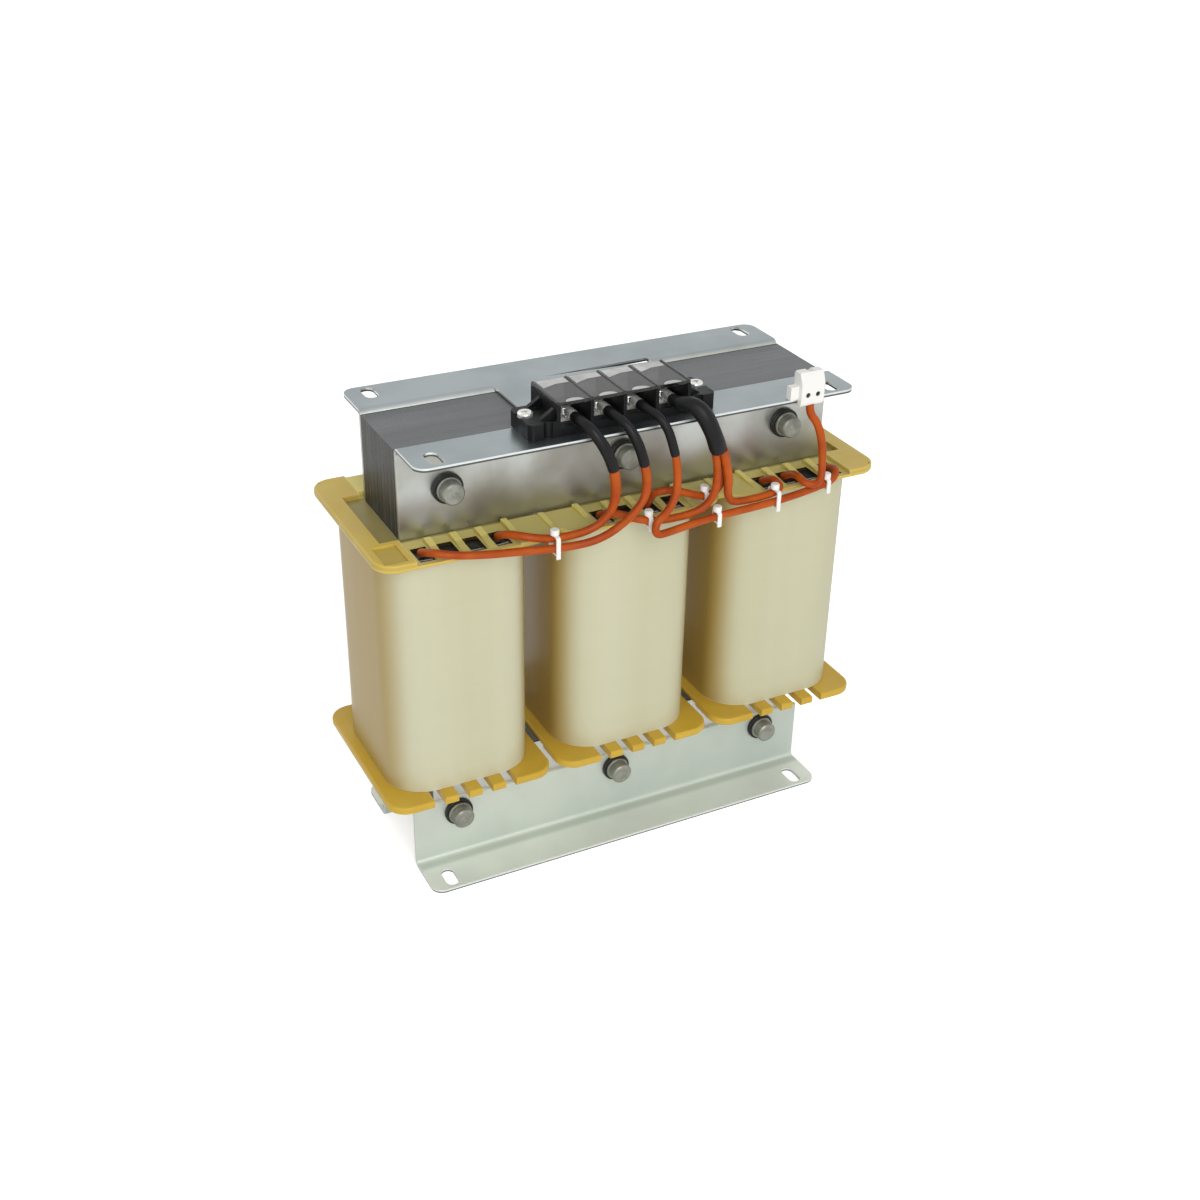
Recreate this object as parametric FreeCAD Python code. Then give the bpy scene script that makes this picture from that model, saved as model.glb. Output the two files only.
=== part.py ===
import FreeCAD, Part
import math
import os

from FreeCAD import Vector as V

# Three-phase iron-core shunt reactor, in millimetres, +Z up.
# The origin is the centre of the mounting face, on the underside of the two foot flanges.
# X runs along the yokes, and the terminal side faces -Y.

# Core
LEG_WIDTH = 50.0
LEG_PITCH = 95.0
LEG_HEIGHT = 139.0
YOKE_HEIGHT = 47.0
STACK_DEPTH = 46.5
LOWER_YOKE_INSET = 12.0
BASE_GAP = 12.0
PACKETS_PER_LEG = 4
AIR_GAP = 1.5
CORNER_BREAK = 0.6

# Sheet-metal clamps
SHEET = 2.0
BEND_RADIUS = 2.0
FLANGE_REACH = 27.6
FLANGE_CORNER = 6.5
LOWER_WEB_HEIGHT = 38.0
WEB_CLEARANCE = 0.4
SLOT_WIDTH = 7.0
SLOT_LENGTH = 14.0
SLOT_INSET_X = 12.0
SLOT_INSET_Y = 9.35
TONGUE_LEFT = -48.0
TONGUE_RIGHT = 41.0
TONGUE_CLEARANCE = 0.5
RELIEF_LEFT = -19.0
RELIEF_DEPTH = 2.2
NARROW_NOTCH_X = 73.5
NARROW_NOTCH_WIDTH = 3.0
WIDE_NOTCH_X = 86.0
WIDE_NOTCH_WIDTH = 11.0
BEND_NOTCH_DEPTH = 1.4

# Clamping bolts
BOLT_D = 6.0
BOLT_CLEARANCE = 0.3
BOLT_HEAD_R = 5.8
BOLT_HEAD_H = 6.4
BOLT_HEAD_CHAMFER = 0.8
BOLT_COLLAR_R = 6.5
BOLT_COLLAR_H = 1.2
BOLT_PIP_R = 1.3
BOLT_PIP_H = 0.4
WASHER_R = 7.9
WASHER_H = 2.6
WASHER_ROUND = 0.6
WASHER_CLEARANCE = 0.1
NUT_R = 5.7
NUT_H = 5.2
NUT_CHAMFER = 0.6
THREAD_END = 2.5
THREAD_CHAMFER = 0.8
UPPER_BOLT_DROP = 25.0
LOWER_BOLT_Z = 30.0

# Coil formers
TUBE_CLEARANCE = 0.4
TUBE_WALL = 1.8
FORMER_GAP = 4.0
FORMER_REACH = 29.15
FORMER_CORNER = 11.0
FLOOR = 2.0
RIM_RISE = 2.4
RIM_ROUND = 1.2
OUTER_RIM = 9.5
SEAT_GAP = 4.2
LEAD_SLOT_WIDTH = 4.2
LEAD_SLOT_PITCH = 13.2
LEAD_SLOTS = 4
LEAD_SLOT_FROM_SEAT = 4.55
LEAD_SLOT_FROM_EDGE = 3.0
BAY_HALF_WIDTH = 26.5
TRAY_WALL = 3.0
TRAY_RISE = 0.9
RIB_WIDTH = 3.6
RIB_FROM_SEAT = 1.6
RIB_SLOPE = 1.4
RIB_CREST = 1.6
RIB_TOE = 0.3
NOTCH_WIDTH = 4.0

# Coils
COIL_BUILD_X = 11.5
COIL_BUILD_Y = 17.75
WINDING_CORNER = 21.3
WRAP = 0.7
COIL_CLEARANCE = 0.1
SWITCH_WIDTH = 9.0
SWITCH_THICKNESS = 4.0
SWITCH_HEIGHT = 18.0
SWITCH_COVER = 4.0

# Terminal block, its poles in a row along X
BLOCK_X = -10.0
BLOCK_INSET = 7.45
BLOCK_DEPTH = 30.0
BLOCK_HEIGHT = 15.2
POLES = 4
POLE_PITCH = 17.6
POLE_WALL = 1.8
POLE_FLOOR = 4.6
POLE_SCREW_INSET = 14.0
POLE_SCREW_PITCH = 9.6
POLE_SCREW_DEPTH = 2.4
EAR_REACH = 14.4
EAR_DEPTH = 24.0
EAR_HEIGHT = 8.0
EAR_CORNER = 3.0
EAR_SCREW_REACH = 10.4
EAR_SCREW_INSET = 13.8
EAR_RECESS_R = 4.8
EAR_RECESS = 0.8
EAR_HOLE_D = 4.4
EAR_BITE_R = 2.6
EAR_BITE_REACH = 4.6
EAR_BITE_INSET = 0.9
EAR_WEB_T = 2.4
EAR_WEB_REACH = 8.5
EAR_WEB_DROP = 1.6
EAR_WEB_INSET = 4.0
EAR_WEB_PITCH = 15.6
EAR_JOINT = 1.0
COVER_T = 1.6
COVER_WEB_H = 0.5
COVER_WEB_T = 1.0
COVER_SETBACK = 0.6

# Small screws, contact plates and lugs
SCREW_D = 4.0
PAN_HEAD_R = 3.9
PAN_HEAD_H = 2.6
PAN_HEAD_ROUND = 1.2
CROSS_WIDTH = 1.0
CROSS_LENGTH = 4.0
CROSS_DEPTH = 1.2
SMALL_NUT_R = 4.0
SMALL_NUT_H = 3.2
SMALL_THREAD_END = 2.0
PLATE_T = 1.6
PLATE_WIDTH = 12.0
PLATE_FRONT = 8.0
PLATE_REAR = 5.4
LUG_T = 1.0
LUG_RING_R = 5.0
LUG_BARREL_R = 2.7
LUG_BARREL_START = 7.0
LUG_BARREL_END = 12.4

# Leads
BEND_SHARE = 0.45
LEAD_D = 4.0
SLEEVE_D = 6.2
SLEEVE_CORNERS = 4
STAR_SLEEVE_D = 9.0
STAR_NECK = 2.6
STAR_FLARE = 3.6
STAR_LEAD_RADIUS = 2.4
STAR_STRAIGHT = 5.0
LEAD_SQUARE = 6.0
LEAD_SEAT_INSET = 12.8
LEAD_SEAT_DEPTH = 0.1

# Thermal switch connector
PLUG_X = 90.7
PLUG_WIDTH = 14.0
PLUG_GRIP = 4.6
PLUG_FRONT_WALL = 3.65
PLUG_BELOW = 3.4
PLUG_ABOVE = 14.2
PLUG_CHAMFER = 1.2
PLUG_SLOPE_DEPTH = 2.4
PLUG_SLOPE_HEIGHT = 5.4
PLUG_CHIN_DEPTH = 1.4
PLUG_CHIN_HEIGHT = 1.8
PLUG_ROUND = 0.8
PLUG_HOLE_R = 1.3
PLUG_HOLE_PITCH = 5.8
PLUG_HOLE_DEPTH = 3.0
PLUG_HOLE_RISE = 2.6
PLUG_TAB = 4.6
PLUG_TAB_DEPTH = 4.0
PLUG_TAB_HEIGHT = 7.0
PLUG_TAB_INSET = 1.5
PLUG_KEY_WIDTH = 3.0
PLUG_KEY_LENGTH = 5.2
PLUG_KEY_DEPTH = 1.4
PLUG_CLEARANCE = 0.15

# Cable ties
TIE_WIDTH = 2.2
TIE_T = 0.8
TIE_CLEARANCE = 0.3
TIE_HEAD_D = 4.6
TIE_HEAD_H = 3.2
TIE_HEAD_ROUND = 0.7
TIE_SEAT = 0.4
TIE_ROUND = 1.6
TIE_TAIL = 2.4

# How far a cutting tool runs past the face it starts from
OVER = 1.0

# Worked out from the sizes above
YOKE_LENGTH = 2.0 * LEG_PITCH + LEG_WIDTH
LOWER_YOKE_LENGTH = YOKE_LENGTH - 2.0 * LOWER_YOKE_INSET
LOWER_YOKE_TOP = BASE_GAP + YOKE_HEIGHT
UPPER_YOKE_BOTTOM = LOWER_YOKE_TOP + LEG_HEIGHT
UPPER_YOKE_TOP = UPPER_YOKE_BOTTOM + YOKE_HEIGHT
TOP = UPPER_YOKE_TOP + SHEET
HALF_STACK = STACK_DEPTH / 2.0
WEB_FACE = HALF_STACK + SHEET
FLANGE_EDGE = WEB_FACE + FLANGE_REACH
BOLT_HOLE_R = BOLT_D / 2.0 + BOLT_CLEARANCE
UPPER_BOLT_Z = TOP - UPPER_BOLT_DROP
LEGS = (("left", -LEG_PITCH), ("middle", 0.0), ("right", LEG_PITCH))
SLOT_X = YOKE_LENGTH / 2.0 - SLOT_INSET_X
SLOT_Y = FLANGE_EDGE - SLOT_INSET_Y
FORMER_WIDTH = LEG_PITCH - FORMER_GAP
HALF_FORMER = HALF_STACK + FORMER_REACH
FORMER_DEPTH = 2.0 * HALF_FORMER
SEAT_HALF = HALF_STACK + SEAT_GAP
LEAD_SLOT_INNER = SEAT_HALF + LEAD_SLOT_FROM_SEAT
LEAD_SLOT_OUTER = HALF_FORMER - LEAD_SLOT_FROM_EDGE
BORE_WIDTH = LEG_WIDTH + 2.0 * TUBE_CLEARANCE
BORE_DEPTH = STACK_DEPTH + 2.0 * TUBE_CLEARANCE
TUBE_WIDTH = BORE_WIDTH + 2.0 * TUBE_WALL
TUBE_DEPTH = BORE_DEPTH + 2.0 * TUBE_WALL
WINDING_WIDTH = TUBE_WIDTH + 2.0 * (COIL_CLEARANCE + COIL_BUILD_X)
WINDING_DEPTH = TUBE_DEPTH + 2.0 * (COIL_CLEARANCE + COIL_BUILD_Y)
COIL_BOTTOM = LOWER_YOKE_TOP + FLOOR + COIL_CLEARANCE
COIL_TOP = UPPER_YOKE_BOTTOM - FLOOR - COIL_CLEARANCE
BLOCK_WIDTH = POLES * POLE_PITCH + POLE_WALL
BLOCK_FRONT = -FLANGE_EDGE + BLOCK_INSET
BLOCK_REAR = BLOCK_FRONT + BLOCK_DEPTH
POLE_SCREW_Y = BLOCK_FRONT + POLE_SCREW_INSET
SUPPLY_SCREW_Y = POLE_SCREW_Y + POLE_SCREW_PITCH
EAR_SCREW_Y = BLOCK_FRONT + EAR_SCREW_INSET
EAR_SCREWS_X = tuple(BLOCK_X + side * (BLOCK_WIDTH / 2.0 + EAR_SCREW_REACH) for side in (-1, 1))
PLATE_Z = TOP + POLE_FLOOR
LUG_Z = PLATE_Z + PLATE_T
LEAD_Z = LUG_Z + LUG_BARREL_R - LUG_T / 2.0
LEAD_START_Y = POLE_SCREW_Y - LUG_BARREL_END
PLUG_FRONT = FLANGE_EDGE + PLUG_FRONT_WALL
PLUG_BACK = FLANGE_EDGE - PLUG_GRIP


def box(x0, x1, y0, y1, z0, z1):
    """A box between two corners."""
    return Part.makeBox(x1 - x0, y1 - y0, z1 - z0, V(x0, y0, z0))


def wide_box(x, width, y0, y1, z0, z1):
    """A box centred at x."""
    return box(x - width / 2, x + width / 2, y0, y1, z0, z1)


def disc(radius, height, base, axis=V(0, 0, 1)):
    """A cylinder that stands on base and runs along axis."""
    return Part.makeCylinder(radius, height, base, axis)


def edges_along(shape, axis):
    """The straight edges of a shape that run along one axis."""
    return [e for e in shape.Edges if abs(e.tangentAt(e.FirstParameter).dot(axis)) > 0.99]


def rounded_block(x, width, depth, radius, z0, z1):
    """A block centred at x with rounded upright edges."""
    block = wide_box(x, width, -depth / 2, depth / 2, z0, z1)
    return block.makeFillet(radius, edges_along(block, V(0, 0, 1)))


def polygon_block(points, direction):
    """A closed outline of points, drawn along direction."""
    outline = Part.makePolygon(list(points) + [points[0]])
    return Part.Face(outline).extrude(direction)


def slot_y(x, y, width, length, z0, z1):
    """A round-ended slot along Y, cut from z0 to z1."""
    half = (length - width) / 2
    ends = [disc(width / 2, z1 - z0, V(x, y + side * half, z0)) for side in (-1, 1)]
    return wide_box(x, width, y - half, y + half, z0, z1).fuse(ends)


def mirror_y(shape):
    """The same shape on the other side of the core."""
    return shape.mirror(V(0, 0, 0), V(0, 1, 0))


def span(side, near, far):
    """The two ends of a stretch on one side of the middle, in rising order."""
    return sorted((side * near, side * far))


def group(shapes):
    """Separate solids kept together in one node."""
    return Part.makeCompound(shapes)


def laminated_block(length, z0):
    """A yoke's stack of laminations with its long edges broken."""
    block = wide_box(0, length, -HALF_STACK, HALF_STACK, z0, z0 + YOKE_HEIGHT)
    return block.makeChamfer(CORNER_BREAK, edges_along(block, V(1, 0, 0)))


def bolt_holes(z):
    """The three bores of one row, right through the stack and both clamps."""
    return [disc(BOLT_HOLE_R, 2 * FLANGE_EDGE, V(x, -FLANGE_EDGE, z), V(0, 1, 0)) for _, x in LEGS]


def upper_yoke():
    """The yoke between the two upper clamps."""
    return laminated_block(YOKE_LENGTH, UPPER_YOKE_BOTTOM).cut(bolt_holes(UPPER_BOLT_Z))


def lower_yoke():
    """The shorter yoke between the two foot clamps."""
    return laminated_block(LOWER_YOKE_LENGTH, BASE_GAP).cut(bolt_holes(LOWER_BOLT_Z))


def packet_height():
    """The height of one iron packet of a leg."""
    return (LEG_HEIGHT - (PACKETS_PER_LEG + 1) * AIR_GAP) / PACKETS_PER_LEG


def gap_levels():
    """The underside of every air gap, from the lower yoke up."""
    return [LOWER_YOKE_TOP + index * (packet_height() + AIR_GAP)
            for index in range(PACKETS_PER_LEG + 1)]


def leg_packets(x):
    """The iron packets of one leg, an air gap apart."""
    return group([wide_box(x, LEG_WIDTH, -HALF_STACK, HALF_STACK,
                           z + AIR_GAP, z + AIR_GAP + packet_height())
                  for z in gap_levels()[:-1]])


def gap_spacers():
    """The hard insulating plates that hold every air gap open."""
    return group([wide_box(x, LEG_WIDTH, -HALF_STACK, HALF_STACK, z, z + AIR_GAP)
                  for _, x in LEGS for z in gap_levels()])


def tube_bore(x, z0, z1):
    """The space that a leg takes up inside its former."""
    return wide_box(x, BORE_WIDTH, -BORE_DEPTH / 2, BORE_DEPTH / 2, z0, z1)


def faces_out(side, x):
    """Whether a former's side looks away from the other legs."""
    return side * x > 0


def flange_blank(x, z0, z1):
    """A former's flange before its pockets, with rounded corners and rims."""
    flange = rounded_block(x, FORMER_WIDTH, FORMER_DEPTH, FORMER_CORNER, z0, z1)
    level = [e for e in flange.Edges if abs(e.tangentAt(e.FirstParameter).z) < 0.01]
    return flange.makeFillet(RIM_ROUND, level)


def yoke_seat(x, z0, z1):
    """The trough that takes the yoke, closed by a rim only on an outer side."""
    half = FORMER_WIDTH / 2
    left = half - OUTER_RIM if faces_out(-1, x) else half + OVER
    right = half - OUTER_RIM if faces_out(1, x) else half + OVER
    return box(x - left, x + right, -SEAT_HALF, SEAT_HALF, z0, z1)


def lead_slot_offsets():
    """Where the lead slots lie, measured from the leg's axis."""
    first = -(LEAD_SLOTS - 1) / 2 * LEAD_SLOT_PITCH
    return [first + index * LEAD_SLOT_PITCH for index in range(LEAD_SLOTS)]


def slot_x(leg, slot):
    """The X of one lead slot, from the leg's number and the slot's number."""
    return LEGS[leg][1] + lead_slot_offsets()[slot]


def lead_bay(x, side, seat, rim):
    """The open bay between the trays, with a slot for each lead in its floor."""
    y0, y1 = span(side, SEAT_HALF - CORNER_BREAK, HALF_FORMER + OVER)
    s0, s1 = span(side, LEAD_SLOT_INNER, LEAD_SLOT_OUTER)
    slots = [wide_box(x + offset, LEAD_SLOT_WIDTH, s0, s1, seat - FLOOR - OVER, seat + OVER)
             for offset in lead_slot_offsets()]
    return [wide_box(x, 2 * BAY_HALF_WIDTH, y0, y1, seat, rim + OVER)] + slots


def trays(x, side, seat, rim):
    """The two shallow corner trays beside the lead bay."""
    half = FORMER_WIDTH / 2
    y0, y1 = span(side, SEAT_HALF + TRAY_WALL, HALF_FORMER - TRAY_WALL)
    cuts = []
    for side_x in (-1, 1):
        outer = half - TRAY_WALL - RIM_ROUND if faces_out(side_x, x) else half + OVER
        x0, x1 = span(side_x, BAY_HALF_WIDTH + TRAY_WALL, outer)
        cuts.append(box(x + x0, x + x1, y0, y1, seat + TRAY_RISE, rim + OVER))
    return cuts


def ribs(x, seat, rim):
    """Wedge ribs between the lead slots, high at the yoke and running out at the front."""
    foot = SEAT_HALF + RIB_FROM_SEAT
    crest = foot + RIB_SLOPE
    wedges = []
    for side in (-1, 1):
        for offset in lead_slot_offsets()[:-1]:
            left = x + offset + (LEAD_SLOT_PITCH - RIB_WIDTH) / 2
            profile = [V(left, side * foot, seat), V(left, side * crest, rim),
                       V(left, side * (crest + RIB_CREST), rim),
                       V(left, side * LEAD_SLOT_OUTER, seat + RIB_TOE),
                       V(left, side * LEAD_SLOT_OUTER, seat)]
            wedges.append(polygon_block(profile, V(RIB_WIDTH, 0, 0)))
    return wedges


def upper_flange(x):
    """The upper flange of a coil former: seat for the yoke, trays, ribs and lead slots."""
    seat = UPPER_YOKE_BOTTOM
    rim = seat + RIM_RISE
    pockets = [yoke_seat(x, seat, rim + OVER), tube_bore(x, seat - FLOOR - OVER, seat + OVER)]
    for side in (-1, 1):
        pockets += lead_bay(x, side, seat, rim)
        pockets += trays(x, side, seat, rim)
    return flange_blank(x, seat - FLOOR, rim).cut(pockets).fuse(ribs(x, seat, rim))


def lower_flange(x):
    """The lower flange: a rim round the lower yoke and notches open at the front and back."""
    seat = LOWER_YOKE_TOP
    low, high = seat - RIM_RISE, seat + FLOOR
    cuts = [yoke_seat(x, low - OVER, seat), tube_bore(x, low - OVER, high + OVER)]
    for side in (-1, 1):
        y0, y1 = span(side, LEAD_SLOT_INNER, HALF_FORMER + OVER)
        cuts += [wide_box(x + offset, NOTCH_WIDTH, y0, y1, low - OVER, high + OVER)
                 for offset in lead_slot_offsets()]
    return flange_blank(x, low, high).cut(cuts)


def former(x):
    """One moulded coil former: a square tube with a flange at each end."""
    tube = rounded_block(x, TUBE_WIDTH, TUBE_DEPTH, TUBE_WALL, LOWER_YOKE_TOP, UPPER_YOKE_BOTTOM)
    tube = tube.cut(tube_bore(x, LOWER_YOKE_TOP - OVER, UPPER_YOKE_BOTTOM + OVER))
    return tube.fuse([upper_flange(x), lower_flange(x)]).removeSplitter()


def winding(x):
    """The copper winding, wound layer on layer round the former's tube."""
    outer = rounded_block(x, WINDING_WIDTH, WINDING_DEPTH, WINDING_CORNER, COIL_BOTTOM, COIL_TOP)
    return outer.cut(rounded_block(x, TUBE_WIDTH + 2 * COIL_CLEARANCE, TUBE_DEPTH + 2 * COIL_CLEARANCE,
                                   TUBE_WALL, COIL_BOTTOM - OVER, COIL_TOP + OVER))


def coil_wrap(x):
    """The cream insulating wrap round one winding."""
    outer = rounded_block(x, WINDING_WIDTH + 2 * WRAP, WINDING_DEPTH + 2 * WRAP,
                          WINDING_CORNER + WRAP, COIL_BOTTOM, COIL_TOP)
    return outer.cut(rounded_block(x, WINDING_WIDTH, WINDING_DEPTH, WINDING_CORNER,
                                   COIL_BOTTOM - OVER, COIL_TOP + OVER))


def thermal_switch():
    """The small bimetal switch buried in the top of the right winding, under its lead's slot."""
    outer = -(LEAD_SLOT_INNER + SWITCH_THICKNESS)
    top = COIL_TOP - SWITCH_COVER
    return wide_box(slot_x(2, 1), SWITCH_WIDTH, outer, -LEAD_SLOT_INNER, top - SWITCH_HEIGHT, top)


def bent_sheet(flange_z, fold, web_end):
    """An L of folded sheet at the front: fold is +1 with the flange on top and -1 below."""
    outer_r = BEND_RADIUS + SHEET
    inner_z = flange_z - fold * SHEET
    turn_z = flange_z - fold * outer_r
    half = math.sqrt(0.5)
    start = V(0, -HALF_STACK, web_end)
    web_out = V(0, -HALF_STACK, turn_z)
    bend_out = V(0, -HALF_STACK - outer_r * (1 - half), turn_z + fold * outer_r * half)
    flange_out = V(0, -HALF_STACK - outer_r, flange_z)
    tip = V(0, -FLANGE_EDGE, flange_z)
    under_tip = V(0, -FLANGE_EDGE, inner_z)
    flange_in = V(0, -HALF_STACK - outer_r, inner_z)
    bend_in = V(0, -WEB_FACE - BEND_RADIUS * (1 - half), turn_z + fold * BEND_RADIUS * half)
    web_in = V(0, -WEB_FACE, turn_z)
    end = V(0, -WEB_FACE, web_end)
    edges = [Part.makeLine(start, web_out), Part.Arc(web_out, bend_out, flange_out).toShape(),
             Part.makeLine(flange_out, tip), Part.makeLine(tip, under_tip),
             Part.makeLine(under_tip, flange_in), Part.Arc(flange_in, bend_in, web_in).toShape(),
             Part.makeLine(web_in, end), Part.makeLine(end, start)]
    profile = Part.Face(Part.Wire(edges))
    profile.translate(V(-YOKE_LENGTH / 2, 0, 0))
    return profile.extrude(V(YOKE_LENGTH, 0, 0))


def finish_flange(sheet, z0, z1):
    """Rounds the two free corners of a flange and cuts its two fixing slots."""
    reach = YOKE_LENGTH / 2
    low, high = z0 - OVER, z1 + OVER
    tools = []
    for side in (-1, 1):
        x0, x1 = span(side, reach - FLANGE_CORNER, reach + OVER)
        square = box(x0, x1, -FLANGE_EDGE - OVER, -FLANGE_EDGE + FLANGE_CORNER, low, high)
        centre = V(side * (reach - FLANGE_CORNER), -FLANGE_EDGE + FLANGE_CORNER, low)
        tools.append(square.cut(disc(FLANGE_CORNER, high - low, centre)))
        tools.append(slot_y(side * SLOT_X, -SLOT_Y, SLOT_WIDTH, SLOT_LENGTH, low, high))
    return sheet.cut(tools)


def upper_clamp():
    """The plain upper clamp, drawn at the front."""
    sheet = bent_sheet(TOP, 1, UPPER_YOKE_BOTTOM + WEB_CLEARANCE)
    return finish_flange(sheet, TOP - SHEET, TOP).cut(bolt_holes(UPPER_BOLT_Z))


def bend_notch(x, width):
    """A relief notch through the bend of the front upper clamp."""
    return wide_box(x, width, -HALF_STACK - BEND_NOTCH_DEPTH, -HALF_STACK + OVER,
                    TOP - SHEET - BEND_RADIUS, TOP + OVER)


def upper_clamp_front():
    """The front upper clamp, with relief notches in its bend and holes for the block."""
    holes = [disc(EAR_HOLE_D / 2, SHEET + 2 * OVER, V(x, EAR_SCREW_Y, TOP - SHEET - OVER))
             for x in EAR_SCREWS_X]
    notches = [bend_notch(NARROW_NOTCH_X, NARROW_NOTCH_WIDTH),
               bend_notch(WIDE_NOTCH_X, WIDE_NOTCH_WIDTH)]
    return upper_clamp().cut(holes + notches)


def upper_clamp_rear():
    """The rear upper clamp, with a tongue over the yoke that carries the terminal block."""
    root = HALF_STACK + SHEET + BEND_RADIUS
    tongue = box(TONGUE_LEFT, TONGUE_RIGHT, -HALF_STACK + TONGUE_CLEARANCE, root,
                 TOP - SHEET, TOP)
    low = TOP - SHEET - OVER
    right = TONGUE_RIGHT + OVER
    wedge = [V(RELIEF_LEFT, root, low), V(right, HALF_STACK, low), V(right, root + RELIEF_DEPTH, low)]
    relief = polygon_block(wedge, V(0, 0, SHEET + 2 * OVER))
    return mirror_y(upper_clamp()).fuse(tongue).cut(relief).removeSplitter()


def lower_clamp():
    """A foot clamp, drawn at the front, that stands on its flange."""
    sheet = bent_sheet(0.0, -1, LOWER_WEB_HEIGHT)
    return finish_flange(sheet, 0.0, SHEET).cut(bolt_holes(LOWER_BOLT_Z))


def bolt_places():
    """The X and Z of every clamping bolt."""
    return [(x, z) for z in (UPPER_BOLT_Z, LOWER_BOLT_Z) for _, x in LEGS]


def clamp_bolt(x, z):
    """A clamping bolt with a plain round head, its collar and its shank."""
    face = -BOLT_COLLAR_H - BOLT_HEAD_H
    pip = face + BOLT_PIP_H
    end = 2 * (WEB_FACE + WASHER_H) + NUT_H + THREAD_END
    shank = BOLT_D / 2
    outline = [V(0, face, 0), V(BOLT_PIP_R, face, 0), V(BOLT_PIP_R, pip, 0),
               V(BOLT_HEAD_R - BOLT_HEAD_CHAMFER, pip, 0),
               V(BOLT_HEAD_R, pip + BOLT_HEAD_CHAMFER, 0), V(BOLT_HEAD_R, -BOLT_COLLAR_H, 0),
               V(BOLT_COLLAR_R, -BOLT_COLLAR_H, 0), V(BOLT_COLLAR_R, 0, 0), V(shank, 0, 0),
               V(shank, end - THREAD_CHAMFER, 0), V(shank - THREAD_CHAMFER, end, 0), V(0, end, 0)]
    half = Part.Face(Part.makePolygon(outline + [outline[0]]))
    bolt = half.revolve(V(0, 0, 0), V(0, 1, 0), 360)
    bolt.translate(V(x, -WEB_FACE - WASHER_H, z))
    return bolt


def insulating_washer(x, z, side):
    """A thick black washer with rounded rims, against the clamp on one side."""
    washer = disc(WASHER_R, WASHER_H, V(x, 0, z), V(0, 1, 0))
    rims = [e for e in washer.Edges if abs(e.Length - 2 * math.pi * WASHER_R) < 0.01]
    washer = washer.makeFillet(WASHER_ROUND, rims)
    bore = disc(BOLT_D / 2 + WASHER_CLEARANCE, WASHER_H + 2 * OVER, V(x, -OVER, z), V(0, 1, 0))
    washer = washer.cut(bore)
    washer.translate(V(0, -WEB_FACE - WASHER_H if side < 0 else WEB_FACE, 0))
    return washer


def hex_nut(base, axis, radius, height, bore):
    """A hexagon nut on base, along axis, with its free end chamfered."""
    corners = [math.radians(60 * index) for index in range(6)]
    prism = polygon_block([V(radius * math.cos(a), radius * math.sin(a), 0) for a in corners],
                          V(0, 0, height))
    dome = Part.makeCone(radius + height, radius - NUT_CHAMFER, height + NUT_CHAMFER)
    nut = prism.common(dome).cut(disc(bore, height + 2 * OVER, V(0, 0, -OVER)))
    nut.Placement = FreeCAD.Placement(base, FreeCAD.Rotation(V(0, 0, 1), axis))
    return nut


def clamp_nuts():
    """The nuts behind the rear clamps."""
    seat = WEB_FACE + WASHER_H
    return group([hex_nut(V(x, seat, z), V(0, 1, 0), NUT_R, NUT_H, BOLT_D / 2)
                  for x, z in bolt_places()])


def pole_x(index):
    """The middle of one pole of the terminal block."""
    return BLOCK_X + (index - (POLES - 1) / 2) * POLE_PITCH


def ear_web(side, joint, front):
    """A ramp that stiffens an ear where it joins the body."""
    top = TOP + EAR_HEIGHT - EAR_RECESS
    ramp = [V(joint, front, top), V(joint + side * (EAR_JOINT + EAR_WEB_REACH), front, top),
            V(joint, front, TOP + BLOCK_HEIGHT - EAR_WEB_DROP)]
    return polygon_block(ramp, V(0, EAR_WEB_T, 0))


def block_ear(side):
    """One fixing ear, with its screw recess and the ramps that join it to the body."""
    wall = BLOCK_X + side * BLOCK_WIDTH / 2
    joint = wall - side * EAR_JOINT
    outer = wall + side * EAR_REACH
    screw_x = wall + side * EAR_SCREW_REACH
    foot = box(*sorted((joint, outer)), BLOCK_FRONT, BLOCK_FRONT + EAR_DEPTH, TOP, TOP + EAR_HEIGHT)
    tip = [e for e in edges_along(foot, V(0, 0, 1)) if abs(e.CenterOfMass.x - outer) < 0.01]
    foot = foot.makeFillet(EAR_CORNER, tip)
    front = BLOCK_FRONT + EAR_WEB_INSET
    webs = [ear_web(side, joint, y) for y in (front, front + EAR_WEB_PITCH)]
    bite = disc(EAR_BITE_R, EAR_HEIGHT + 2 * OVER,
                V(wall + side * EAR_BITE_REACH, BLOCK_FRONT - EAR_BITE_INSET, TOP - OVER))
    hole = disc(EAR_HOLE_D / 2, EAR_HEIGHT + 2 * OVER, V(screw_x, EAR_SCREW_Y, TOP - OVER))
    recess = disc(EAR_RECESS_R, EAR_RECESS + OVER, V(screw_x, EAR_SCREW_Y, TOP + EAR_HEIGHT - EAR_RECESS))
    return foot.cut(bite).fuse(webs).cut([hole, recess])


def terminal_block():
    """The moulded block: a body with four cells, open at front and back, and two ears."""
    body = wide_box(BLOCK_X, BLOCK_WIDTH, BLOCK_FRONT, BLOCK_REAR, TOP, TOP + BLOCK_HEIGHT)
    body = body.fuse([block_ear(-1), block_ear(1)])
    cuts = []
    for index in range(POLES):
        x = pole_x(index)
        cuts.append(wide_box(x, POLE_PITCH - POLE_WALL, BLOCK_FRONT - OVER, BLOCK_REAR + OVER,
                             PLATE_Z, TOP + BLOCK_HEIGHT + OVER))
        cuts += [disc(SCREW_D / 2, POLE_SCREW_DEPTH + OVER, V(x, y, PLATE_Z - POLE_SCREW_DEPTH))
                 for y in (POLE_SCREW_Y, SUPPLY_SCREW_Y)]
    return body.cut(cuts).removeSplitter()


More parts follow.
